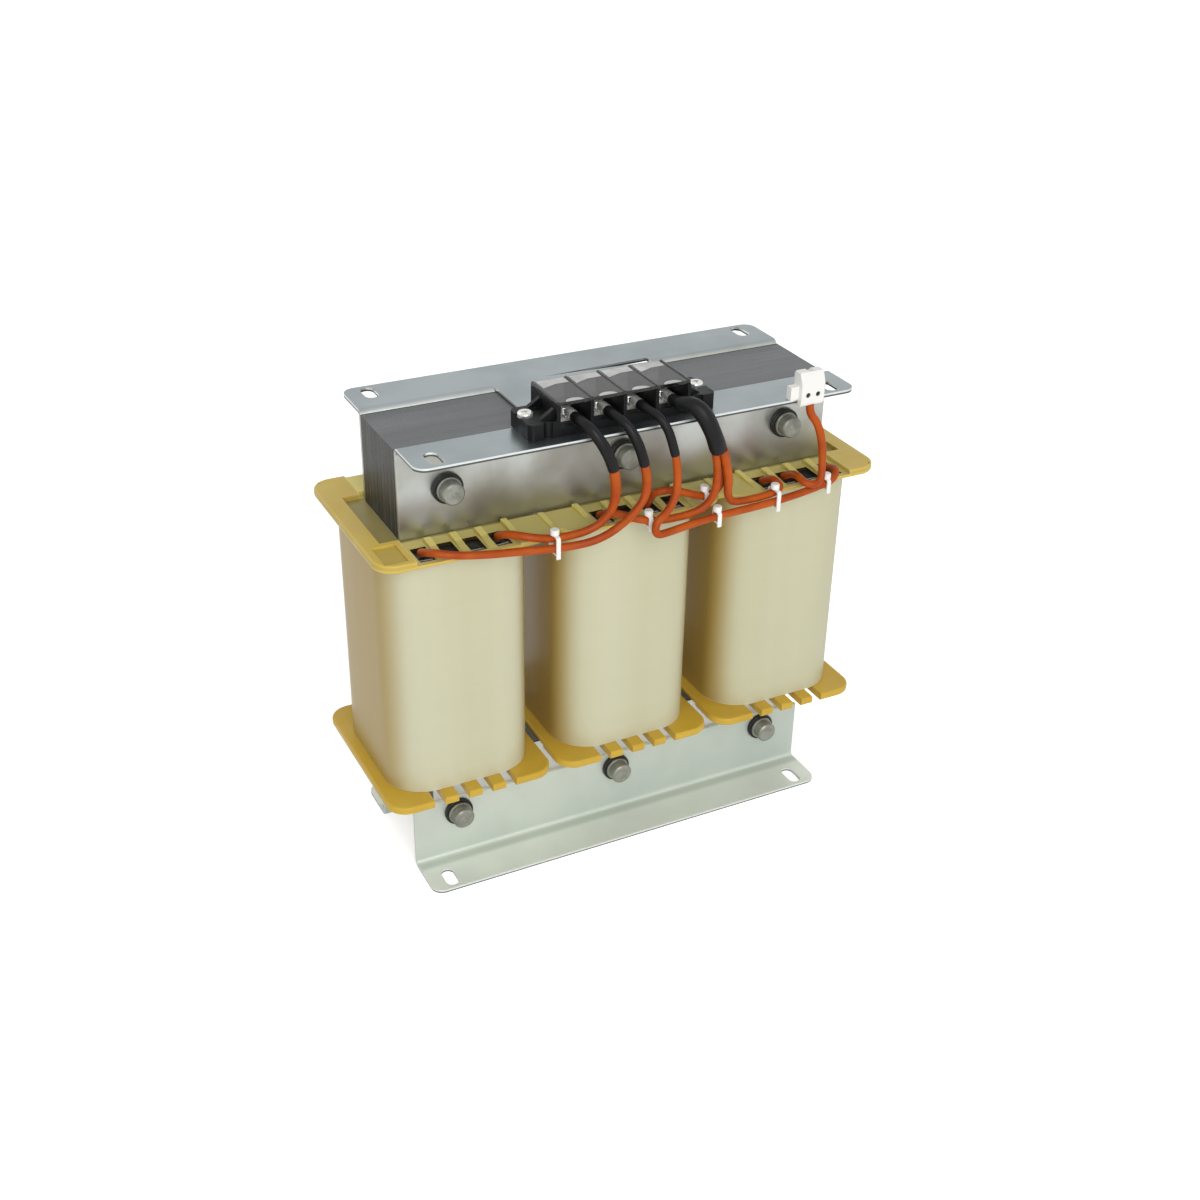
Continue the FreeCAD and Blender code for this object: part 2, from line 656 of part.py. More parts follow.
def terminal_cover():
    """The clear cover: a thin lid over the cells with a low web over each wall."""
    z = TOP + BLOCK_HEIGHT
    front = BLOCK_FRONT + COVER_SETBACK
    lid = wide_box(BLOCK_X, BLOCK_WIDTH, front, BLOCK_REAR, z, z + COVER_T)
    first = BLOCK_X - (BLOCK_WIDTH - POLE_WALL) / 2
    webs = [wide_box(first + index * POLE_PITCH, COVER_WEB_T, front, BLOCK_REAR,
                     z + COVER_T, z + COVER_T + COVER_WEB_H) for index in range(POLES + 1)]
    return lid.fuse(webs).removeSplitter()


def contact_plate(x):
    """The plated plate on the floor of one cell, with a hole for each of its screws."""
    plate = wide_box(x, PLATE_WIDTH, POLE_SCREW_Y - PLATE_FRONT, SUPPLY_SCREW_Y + PLATE_REAR,
                     PLATE_Z, PLATE_Z + PLATE_T)
    return plate.cut([disc(SCREW_D / 2, PLATE_T + 2 * OVER, V(x, y, PLATE_Z - OVER))
                      for y in (POLE_SCREW_Y, SUPPLY_SCREW_Y)])


def cable_lug(x):
    """A crimped ring lug: a flat ring with a barrel that points out of the cell."""
    ring = disc(LUG_RING_R, LUG_T, V(x, POLE_SCREW_Y, LUG_Z))
    neck_end = POLE_SCREW_Y - LUG_BARREL_START - LUG_T
    neck = wide_box(x, 2 * LUG_BARREL_R, neck_end, POLE_SCREW_Y, LUG_Z, LUG_Z + LUG_T)
    barrel = disc(LUG_BARREL_R, LUG_BARREL_END - LUG_BARREL_START,
                  V(x, POLE_SCREW_Y - LUG_BARREL_START, LEAD_Z), V(0, -1, 0))
    under = wide_box(x, 4 * LUG_BARREL_R, POLE_SCREW_Y - 2 * LUG_BARREL_END, POLE_SCREW_Y,
                     LUG_Z - LUG_BARREL_R, LUG_Z)
    hole = disc(SCREW_D / 2, LUG_T + 2 * OVER, V(x, POLE_SCREW_Y, LUG_Z - OVER))
    return ring.fuse([neck, barrel]).cut([under, hole])


def pan_screw(x, y, seat, length):
    """A cross-slotted pan-head screw whose head sits on seat."""
    top = seat + PAN_HEAD_H
    head = disc(PAN_HEAD_R, PAN_HEAD_H, V(x, y, seat))
    rim = [e for e in head.Edges if abs(e.Length - 2 * math.pi * PAN_HEAD_R) < 0.01
           and abs(e.CenterOfMass.z - top) < 0.01]
    head = head.makeFillet(PAN_HEAD_ROUND, rim)
    low, high = top - CROSS_DEPTH, top + OVER
    cross = [wide_box(x, CROSS_WIDTH, y - CROSS_LENGTH / 2, y + CROSS_LENGTH / 2, low, high),
             wide_box(x, CROSS_LENGTH, y - CROSS_WIDTH / 2, y + CROSS_WIDTH / 2, low, high)]
    return head.fuse(disc(SCREW_D / 2, length, V(x, y, seat - length))).cut(cross)


def terminal_screws():
    """The screws that hold the lugs down, and the free ones behind them for the supply."""
    length = PLATE_T + POLE_SCREW_DEPTH
    places = [pole_x(index) for index in range(POLES)]
    held = [pan_screw(x, POLE_SCREW_Y, LUG_Z + LUG_T, length + LUG_T) for x in places]
    return group(held + [pan_screw(x, SUPPLY_SCREW_Y, LUG_Z, length) for x in places])


def block_screws():
    """The two screws through the ears and the front clamp."""
    seat = TOP + EAR_HEIGHT - EAR_RECESS
    length = seat - TOP + SHEET + SMALL_NUT_H + SMALL_THREAD_END
    return group([pan_screw(x, EAR_SCREW_Y, seat, length) for x in EAR_SCREWS_X])


def block_nuts():
    """The nuts under the front clamp, on the two ear screws."""
    return group([hex_nut(V(x, EAR_SCREW_Y, TOP - SHEET), V(0, 0, -1),
                          SMALL_NUT_R, SMALL_NUT_H, SCREW_D / 2) for x in EAR_SCREWS_X])


def route_edges(points):
    """Straight runs through the points, joined by arcs as large as the runs allow."""
    corners = [V(*p) for p in points]
    edges = []
    start = corners[0]
    for before, corner, after in zip(corners, corners[1:], corners[2:]):
        into = corner - before
        out = after - corner
        turn = into.getAngle(out)
        reach = BEND_SHARE * min(into.Length, out.Length)
        radius = reach / math.tan(turn / 2)
        first = corner - into.normalize() * reach
        last = corner + out.normalize() * reach
        inward = ((first + last) * 0.5 - corner).normalize()
        middle = corner + inward * (radius / math.cos(turn / 2) - radius)
        edges.append(Part.LineSegment(start, first).toShape())
        edges.append(Part.Arc(first, middle, last).toShape())
        start = last
    edges.append(Part.LineSegment(start, corners[-1]).toShape())
    return edges


def round_sweep(wire, diameter):
    """A round solid of one diameter along a wire."""
    first = wire.OrderedEdges[0]
    start = first.valueAt(first.FirstParameter)
    ring = Part.Wire(Part.makeCircle(diameter / 2, start, first.tangentAt(first.FirstParameter)))
    return wire.makePipeShell([ring], True, False)


def lead(name, points):
    """A round lead along its route, with a note of its bends and of its volume."""
    edges = route_edges(points)
    wire = Part.Wire(edges)
    solid = round_sweep(wire, LEAD_D)
    tightest = min(e.Curve.Radius for e in edges[1::2])
    straight = wire.Length * math.pi * LEAD_D ** 2 / 4
    print("%s: length %.1f, tightest radius %.1f, volume against section times length %.4f" % (
        name, wire.Length, tightest, solid.Volume / straight))
    return solid


def sleeve(points):
    """A heat-shrink tube over the first bends of a lead."""
    wire = Part.Wire(route_edges(points)[:2 * SLEEVE_CORNERS + 1])
    return round_sweep(wire, SLEEVE_D).cut(round_sweep(wire, LEAD_D))


def star_sleeve(points):
    """The wide tube over the three star leads, drawn in to the lug's barrel."""
    x, y, z = points[0]
    neck = disc(SLEEVE_D / 2, STAR_NECK, V(x, y + STAR_NECK + STAR_FLARE, z), V(0, -1, 0))
    flare = Part.makeCone(SLEEVE_D / 2, STAR_SLEEVE_D / 2, STAR_FLARE,
                          V(x, y + STAR_FLARE, z), V(0, -1, 0))
    tube = round_sweep(Part.Wire(route_edges(points)), STAR_SLEEVE_D)
    return tube.fuse([flare, neck]).removeSplitter()


def by_flange(x, front, above):
    """A route point in front of the formers' edge, its height taken from the top flanges."""
    return (x, -HALF_FORMER - front, TOP + above)


def by_former(x, front, above):
    """A route point in front of the formers' edge, its height taken from the yoke's seat."""
    return (x, -HALF_FORMER - front, UPPER_YOKE_BOTTOM + above)


def from_lug(pole):
    """The first two points of a lead, square out of its lug."""
    return [(pole_x(pole), LEAD_START_Y, LEAD_Z), (pole_x(pole), LEAD_START_Y - LEAD_SQUARE, LEAD_Z)]


def into_slot(leg, slot, front, above):
    """The last two points of a lead, down into one of a former's lead slots."""
    x = slot_x(leg, slot)
    return [by_former(x, front, above), by_former(x, -LEAD_SEAT_INSET, -LEAD_SEAT_DEPTH)]


# Routes of the leads, from the terminal end to the lead slot that each comes out of
LEAD_1 = from_lug(0) + [
    by_flange(-34.0, 5.0, 6.4), by_flange(-29.8, 8.6, -0.4), by_flange(-25.0, 8.8, -10.4),
    by_flange(-22.6, 8.2, -18.4), by_former(-21.4, 7.4, 20.0), by_former(-23.4, 7.0, 12.0),
    by_former(-29.0, 6.6, 6.0), by_former(-36.4, 5.6, 2.8), by_former(-45.0, 4.8, 1.8),
    by_former(-54.6, 4.4, 2.0), by_former(-65.4, 3.2, 4.6)] + into_slot(0, 3, -5.2, 5.2)
LEAD_2 = from_lug(1) + [
    by_flange(-14.6, 5.0, 5.0), by_flange(-11.0, 8.6, -3.2), by_flange(-8.2, 8.8, -11.0),
    by_flange(-6.0, 8.4, -19.0), by_former(-4.8, 8.2, 22.0), by_former(-6.6, 8.6, 15.4),
    by_former(-11.8, 9.8, 10.4), by_former(-18.6, 11.2, 6.4), by_former(-26.0, 11.6, 2.6),
    by_former(-34.0, 10.4, -0.6), by_former(-43.0, 8.6, -2.0), by_former(-56.0, 7.2, -1.8),
    by_former(-72.0, 5.6, -0.4), by_former(-88.0, 4.6, 1.0), by_former(-104.0, 2.4, 3.0),
    ] + into_slot(0, 0, -3.2, 4.6)
LEAD_3 = from_lug(2) + [
    by_flange(2.4, 5.0, 6.6), by_flange(5.4, 8.6, 0.6), by_flange(8.4, 8.8, -8.6),
    by_flange(10.8, 8.6, -16.8), by_former(11.8, 8.8, 20.0), by_former(9.8, 9.8, 12.4),
    by_former(5.0, 11.4, 7.0), by_former(-2.4, 13.2, 3.6), by_former(-2.2, 13.4, -3.4),
    by_former(6.0, 12.4, -3.6), by_former(20.0, 10.2, -3.0), by_former(34.0, 8.6, -2.8),
    by_former(50.0, 7.4, -3.0), by_former(64.0, 7.0, -2.8), by_former(77.0, 6.2, -2.4),
    by_former(88.0, 4.6, -2.2), by_former(99.0, 3.6, -1.2), by_former(109.0, 3.4, 0.8),
    ] + into_slot(2, 3, -3.0, 4.4)
STAR_SLEEVE = [
    (pole_x(3), LEAD_START_Y - STAR_NECK - STAR_FLARE, LEAD_Z), by_flange(20.4, 3.2, 9.6),
    by_flange(25.0, 8.0, 5.4), by_flange(28.8, 9.8, -2.8), by_flange(32.2, 9.2, -10.4),
    by_flange(34.3, 8.1, -15.2)]
STAR_DIRECTION = (V(*STAR_SLEEVE[-1]) - V(*STAR_SLEEVE[-2])).normalize()


def from_star(angle):
    """The first two points of a star lead, square out of the wide sleeve's end."""
    side = V(1, 0, 0).cross(STAR_DIRECTION).normalize()
    across = STAR_DIRECTION.cross(side).normalize()
    turn = math.radians(angle)
    offset = (across * math.cos(turn) + side * math.sin(turn)) * STAR_LEAD_RADIUS
    start = V(*STAR_SLEEVE[-1]) + offset
    return [tuple(start), tuple(start + STAR_DIRECTION * STAR_STRAIGHT)]


STAR_LEAD_1 = from_star(200) + [
    by_former(34.6, 8.2, 17.6), by_former(33.6, 8.0, 9.6), by_former(29.6, 7.0, 3.2),
    by_former(22.0, 6.2, 0.4), by_former(12.0, 5.8, -0.2), by_former(2.0, 5.4, 0.2),
    by_former(-6.6, 4.2, 2.2), by_former(-13.6, 1.2, 4.8)] + into_slot(1, 0, -4.4, 5.2)
STAR_LEAD_2 = from_star(80) + [
    by_former(40.6, 3.6, 16.0), by_former(39.8, 2.0, 9.4), by_former(35.4, 1.0, 5.6),
    by_former(28.6, 0.6, 6.4), by_former(21.6, 0.0, 9.4), by_former(14.4, -1.2, 11.8),
    by_former(8.2, -3.0, 11.6)] + into_slot(1, 2, -7.8, 8.0)
STAR_LEAD_3 = from_star(320) + [
    by_former(41.6, 7.9, 16.4), by_former(41.8, 6.8, 8.2), by_former(45.4, 4.6, 1.6),
    by_former(53.0, 3.6, -0.2), by_former(66.0, 3.4, -0.2), by_former(77.6, 3.4, 2.0),
    ] + into_slot(2, 0, -4.2, 5.8)
SENSOR_LEAD = [
    by_flange(PLUG_X, 2.0, -PLUG_BELOW), by_flange(PLUG_X, 2.0, -8.0), by_flange(95.6, 3.6, -14.0),
    by_former(98.4, 5.0, 24.0), by_former(98.8, 6.2, 12.0), by_former(98.0, 7.4, 2.6),
    by_former(88.4, 7.2, 3.6)] + into_slot(2, 1, -3.4, 6.6)


def plug_housing():
    """The white two-pole housing, snapped over the front edge of the flange."""
    left = PLUG_X - PLUG_WIDTH / 2
    z0, z1 = TOP - PLUG_BELOW, TOP + PLUG_ABOVE
    outline = [V(left, -PLUG_BACK, z0), V(left, -PLUG_FRONT + PLUG_CHIN_DEPTH, z0),
               V(left, -PLUG_FRONT, z0 + PLUG_CHIN_HEIGHT), V(left, -PLUG_FRONT, z1 - PLUG_SLOPE_HEIGHT),
               V(left, -PLUG_FRONT + PLUG_SLOPE_DEPTH, z1), V(left, -PLUG_BACK - PLUG_CHAMFER, z1),
               V(left, -PLUG_BACK, z1 - PLUG_CHAMFER)]
    body = polygon_block(outline, V(PLUG_WIDTH, 0, 0))
    across = [e for e in body.Edges if abs(e.tangentAt(e.FirstParameter).x) < 0.01]
    body = body.makeFillet(PLUG_ROUND, across)
    tab = box(left - PLUG_TAB, left + OVER, -PLUG_BACK - PLUG_TAB_INSET - PLUG_TAB_DEPTH,
              -PLUG_BACK - PLUG_TAB_INSET, TOP, TOP + PLUG_TAB_HEIGHT)
    mouth = wide_box(PLUG_X, PLUG_WIDTH + 2 * OVER, -FLANGE_EDGE - PLUG_CLEARANCE,
                     -PLUG_BACK + OVER, TOP - SHEET - PLUG_CLEARANCE, TOP)
    keyway = wide_box(PLUG_X, PLUG_KEY_WIDTH, -PLUG_BACK - PLUG_KEY_LENGTH, -PLUG_BACK + OVER,
                      z1 - PLUG_KEY_DEPTH, z1 + OVER)
    holes = [disc(PLUG_HOLE_R, PLUG_HOLE_DEPTH + OVER,
                  V(PLUG_X + side * PLUG_HOLE_PITCH / 2, -PLUG_FRONT - OVER, TOP + PLUG_HOLE_RISE),
                  V(0, 1, 0)) for side in (-1, 1)]
    return body.fuse(tab).cut([mouth, keyway] + holes)


def route_at(points, x):
    """The Y and Z at which a route last passes x."""
    runs = [(a, b) for a, b in zip(points, points[1:]) if min(a[0], b[0]) <= x <= max(a[0], b[0])]
    a, b = runs[-1]
    share = (x - a[0]) / (b[0] - a[0])
    return a[1] + share * (b[1] - a[1]), a[2] + share * (b[2] - a[2])


def cable_tie(x, routes):
    """A tie round the leads that pass x: a thin band, a head on top and a cut tail."""
    places = [route_at(points, x) for points in routes]
    grow = LEAD_D / 2 + TIE_CLEARANCE
    y0, y1 = min(y for y, _ in places) - grow, max(y for y, _ in places) + grow
    z0, z1 = min(z for _, z in places) - grow, max(z for _, z in places) + grow
    outer = wide_box(x, TIE_WIDTH, y0 - TIE_T, y1 + TIE_T, z0 - TIE_T, z1 + TIE_T)
    inner = wide_box(x, TIE_WIDTH + 2 * OVER, y0, y1, z0, z1)
    outer = outer.makeFillet(TIE_ROUND, edges_along(outer, V(1, 0, 0)))
    inner = inner.makeFillet(TIE_ROUND - TIE_T, edges_along(inner, V(1, 0, 0)))
    head = disc(TIE_HEAD_D / 2, TIE_HEAD_H, V(x, (y0 + y1) / 2, z1 + TIE_SEAT))
    rims = [e for e in head.Edges if abs(e.Length - math.pi * TIE_HEAD_D) < 0.01]
    head = head.makeFillet(TIE_HEAD_ROUND, rims)
    tail = wide_box(x, TIE_WIDTH, y0 - TIE_T, y0, z0 - TIE_TAIL, (z0 + z1) / 2)
    return outer.cut(inner).fuse([head, tail])


def cable_ties():
    """The six ties of the harness, each at its own X."""
    bundles = ((-53.5, [LEAD_1, LEAD_2]), (-1.8, [STAR_LEAD_1]), (32.0, [STAR_LEAD_2]),
               (35.5, [LEAD_3]), (71.5, [LEAD_3, STAR_LEAD_3]), (104.0, [LEAD_3]))
    return group([cable_tie(x, routes) for x, routes in bundles])


def core_parts():
    """The iron core with its spacers, and the coils on its legs."""
    parts = {
        "core_upper_yoke": upper_yoke(),
        "core_lower_yoke": lower_yoke(),
        "air_gap_spacers": gap_spacers(),
        "thermal_switch": thermal_switch(),
    }
    for name, x in LEGS:
        parts["core_leg_" + name] = leg_packets(x)
        parts["coil_former_" + name] = former(x)
        parts["winding_" + name] = winding(x)
        parts["coil_wrap_" + name] = coil_wrap(x)
    parts["winding_right"] = parts["winding_right"].cut(parts["thermal_switch"])
    return parts


def frame_parts():
    """The sheet-metal clamps and what bolts them through the yokes."""
    return {
        "upper_clamp_front": upper_clamp_front(),
        "upper_clamp_rear": upper_clamp_rear(),
        "lower_clamp_front": lower_clamp(),
        "lower_clamp_rear": mirror_y(lower_clamp()),
        "clamp_bolts": group([clamp_bolt(x, z) for x, z in bolt_places()]),
        "front_washers": group([insulating_washer(x, z, -1) for x, z in bolt_places()]),
        "rear_washers": group([insulating_washer(x, z, 1) for x, z in bolt_places()]),
        "clamp_nuts": clamp_nuts(),
    }


def terminal_parts():
    """The terminal block with what is screwed to it."""
    return {
        "terminal_block": terminal_block(),
        "terminal_cover": terminal_cover(),
        "terminal_plates": group([contact_plate(pole_x(index)) for index in range(POLES)]),
        "terminal_screws": terminal_screws(),
        "cable_lugs": group([cable_lug(pole_x(index)) for index in range(POLES)]),
        "block_screws": block_screws(),
        "block_nuts": block_nuts(),
    }


def harness_parts():
    """The leads, their sleeves, the plug and the ties."""
    routes = {"lead_1": LEAD_1, "lead_2": LEAD_2, "lead_3": LEAD_3, "star_lead_1": STAR_LEAD_1,
              "star_lead_2": STAR_LEAD_2, "star_lead_3": STAR_LEAD_3, "sensor_lead": SENSOR_LEAD}
    parts = {name: lead(name, points) for name, points in routes.items()}
    parts["sleeve_1"] = sleeve(LEAD_1)
    parts["sleeve_2"] = sleeve(LEAD_2)
    parts["sleeve_3"] = sleeve(LEAD_3)
    parts["star_sleeve"] = star_sleeve(STAR_SLEEVE)
    parts["sensor_plug"] = plug_housing()
    parts["cable_ties"] = cable_ties()
    return parts


def main():
    """Writes one STEP file for each sub-part."""
    os.makedirs("parts", exist_ok=True)
    parts = {**core_parts(), **frame_parts(), **terminal_parts(), **harness_parts()}
    for name, shape in parts.items():
        shape.exportStep("parts/%s.step" % name)
        print("%-20s solids %2d volume %10.1f valid %s" % (
            name, len(shape.Solids), shape.Volume, shape.isValid()))


main()
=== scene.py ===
"""The looks of a three-phase shunt reactor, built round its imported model."""

import logging
import math
import random
from dataclasses import dataclass, field
from enum import Enum
from typing import Any, Callable, ClassVar, Sequence

import bmesh
import bpy
from mathutils import Matrix, Vector
from mathutils.geometry import tessellate_polygon


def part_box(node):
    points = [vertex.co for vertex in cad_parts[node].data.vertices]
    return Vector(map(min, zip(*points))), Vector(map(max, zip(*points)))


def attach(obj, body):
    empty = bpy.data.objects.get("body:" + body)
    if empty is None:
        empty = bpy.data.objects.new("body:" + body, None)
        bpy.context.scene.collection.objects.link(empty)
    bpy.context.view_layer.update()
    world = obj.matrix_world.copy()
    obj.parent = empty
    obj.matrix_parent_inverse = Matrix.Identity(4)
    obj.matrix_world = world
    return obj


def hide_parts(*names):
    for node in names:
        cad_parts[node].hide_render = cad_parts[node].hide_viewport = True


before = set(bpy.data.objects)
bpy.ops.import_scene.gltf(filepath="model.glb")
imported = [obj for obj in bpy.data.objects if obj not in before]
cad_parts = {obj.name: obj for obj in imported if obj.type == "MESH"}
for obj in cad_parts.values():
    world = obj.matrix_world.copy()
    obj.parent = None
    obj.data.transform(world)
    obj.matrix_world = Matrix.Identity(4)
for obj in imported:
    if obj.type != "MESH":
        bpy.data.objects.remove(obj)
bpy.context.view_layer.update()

LOG = logging.getLogger("reactor")
MM = 0.001
WELD = 0.002 * MM
FLAT = math.radians(0.3)
SHARP = math.radians(38)
UNSTRETCHED = (1.0, 1.0, 1.0)
WHITE = (1.0, 1.0, 1.0, 1.0)

Pair = tuple[float, float]
Point = tuple[float, float, float]
Colour = tuple[float, float, float]
Node = bpy.types.Node
Socket = bpy.types.NodeSocket
Shape = bmesh.types.BMesh
Ring = Sequence[bmesh.types.BMVert]


class Ray(Enum):
    """The kinds of light ray that see the plain white surroundings."""

    CAMERA = "Is Camera Ray"
    GLOSSY = "Is Glossy Ray"
    TRANSMISSION = "Is Transmission Ray"


class Ends(Enum):
    """What becomes of the first and last ring of a skin."""

    OPEN = "left open"
    JOINED = "joined to each other"
    CAPPED = "closed by a face each"


def linear(red: int, green: int, blue: int) -> Colour:
    """Turns a screen colour into the scene's own linear values.

    Args:
        red: Red from 0 to 255.
        green: Green from 0 to 255.
        blue: Blue from 0 to 255.

    Returns:
        The same colour in linear light.
    """
    shares = (red / 255, green / 255, blue / 255)
    return tuple(share / 12.92 if share <= 0.04045 else ((share + 0.055) / 1.055) ** 2.4 for share in shares)


def scaled(colour: Colour, share: float) -> Colour:
    """Gives a share of a colour."""
    return tuple(share * channel for channel in colour)


def set_up(thing: Any, **settings: Any) -> Any:
    """Gives a new thing its settings.

    Args:
        thing: A node, modifier, curve, lamp or camera.
        settings: Its properties.

    Returns:
        The same thing.
    """
    for key, value in settings.items():
        setattr(thing, key, value)
    return thing


class Graph:
    """Short calls for building one node tree."""

    def __init__(self, tree: bpy.types.NodeTree) -> None:
        """Takes the tree that the calls add to."""
        self.tree = tree

    def feed(self, node: Node, inputs: dict[Any, Any]) -> None:
        """Links a node's inputs to sockets, or sets their own values.

        Args:
            node: The node.
            inputs: Values or sockets for its inputs, by name or number.
        """
        for key, value in inputs.items():
            if isinstance(value, Socket):
                self.tree.links.new(value, node.inputs[key])
            else:
                node.inputs[key].default_value = value

    def add(self, kind: str, inputs: dict[Any, Any] | None = None, **settings: Any) -> Node:
        """Adds a shader node, sets it up and feeds its inputs.

        Args:
            kind: The node's type, without its ShaderNode prefix.
            inputs: Values or sockets for the node's inputs, by name or number.
            settings: The node's own properties.

        Returns:
            The new node.
        """
        node = set_up(self.tree.nodes.new("ShaderNode" + kind), **settings)
        self.feed(node, inputs or {})
        return node

    def math(self, operation: str, *values: Any) -> Socket:
        """Adds a Math node and gives its result."""
        return self.add("Math", dict(enumerate(values)), operation=operation).outputs[0]

    def times(self, first: Any, second: Any) -> Socket:
        """Multiplies two values."""
        return self.math("MULTIPLY", first, second)

    def minus(self, first: Any, second: Any) -> Socket:
        """Takes the second value from the first."""
        return self.math("SUBTRACT", first, second)

    def absolute(self, value: Any) -> Socket:
        """Gives a value without its sign."""
        return self.math("ABSOLUTE", value)

    def weigh(self, first: Any, share: float, second: Any, other: float) -> Socket:
        """Adds two values, each times its own share."""
        return self.math("ADD", self.times(first, share), self.times(second, other))

    def mix(self, share: Any, first: Any, second: Any) -> Socket:
        """Mixes two colours by the share of the second one."""
        ends = [(*end, 1.0) if isinstance(end, tuple) else end for end in (first, second)]
        return self.add("Mix", {0: share, 6: ends[0], 7: ends[1]}, data_type="RGBA").outputs[2]

    def span(self, value: Any, low: float, high: float, start: float = 0.0, end: float = 1.0) -> Socket:
        """Maps a value smoothly from one range to another, and holds it there."""
        return self.add("MapRange", {0: value, 1: low, 2: high, 3: start, 4: end},
                        interpolation_type="SMOOTHSTEP").outputs[0]

    def along(self, axis: int) -> Socket:
        """Gives the place along one of the object's axes, in metres."""
        return self.add("SeparateXYZ", {0: self.add("TexCoord").outputs["Object"]}).outputs[axis]

    def facing(self, axis: int) -> Socket:
        """Gives how far the surface faces along one axis."""
        return self.add("SeparateXYZ", {0: self.add("NewGeometry").outputs["Normal"]}).outputs[axis]

    def noise(self, size: Any, detail: Any, roughness: float = 0.5, stretch: Any = None) -> Socket:
        """Adds noise over the object's own axes.

        Args:
            size: How many patches there are to a metre.
            detail: How many finer layers it has.
            roughness: How strong the finer layers are.
            stretch: What each axis is multiplied by, or None.

        Returns:
            The noise's value.
        """
        place = self.add("TexCoord").outputs["Object"]
        if stretch is not None:
            place = self.add("VectorMath", {0: place, 1: stretch}, operation="MULTIPLY").outputs[0]
        return self.add("TexNoise", {"Vector": place, "Scale": size, "Detail": detail,
                                     "Roughness": roughness}).outputs[0]

    def relief(self, height: Any, depth: float) -> Socket:
        """Gives the normal of a fine relief whose depth is in metres."""
        return self.add("Bump", {"Height": height, "Distance": depth, "Strength": 1.0}).outputs[0]

    def effect(self, name: str, **values: Any) -> Socket:
        """Places one of the shared groups, which is built on its first use.

        Args:
            name: The group's name.
            values: The group's inputs, with spaces written as underscores.

        Returns:
            The group's value.
        """
        group = bpy.data.node_groups.get(name) or SurfaceEffect(name).tree
        inputs = {key.replace("_", " "): value for key, value in values.items()}
        return self.add("Group", inputs, node_tree=group).outputs[0]


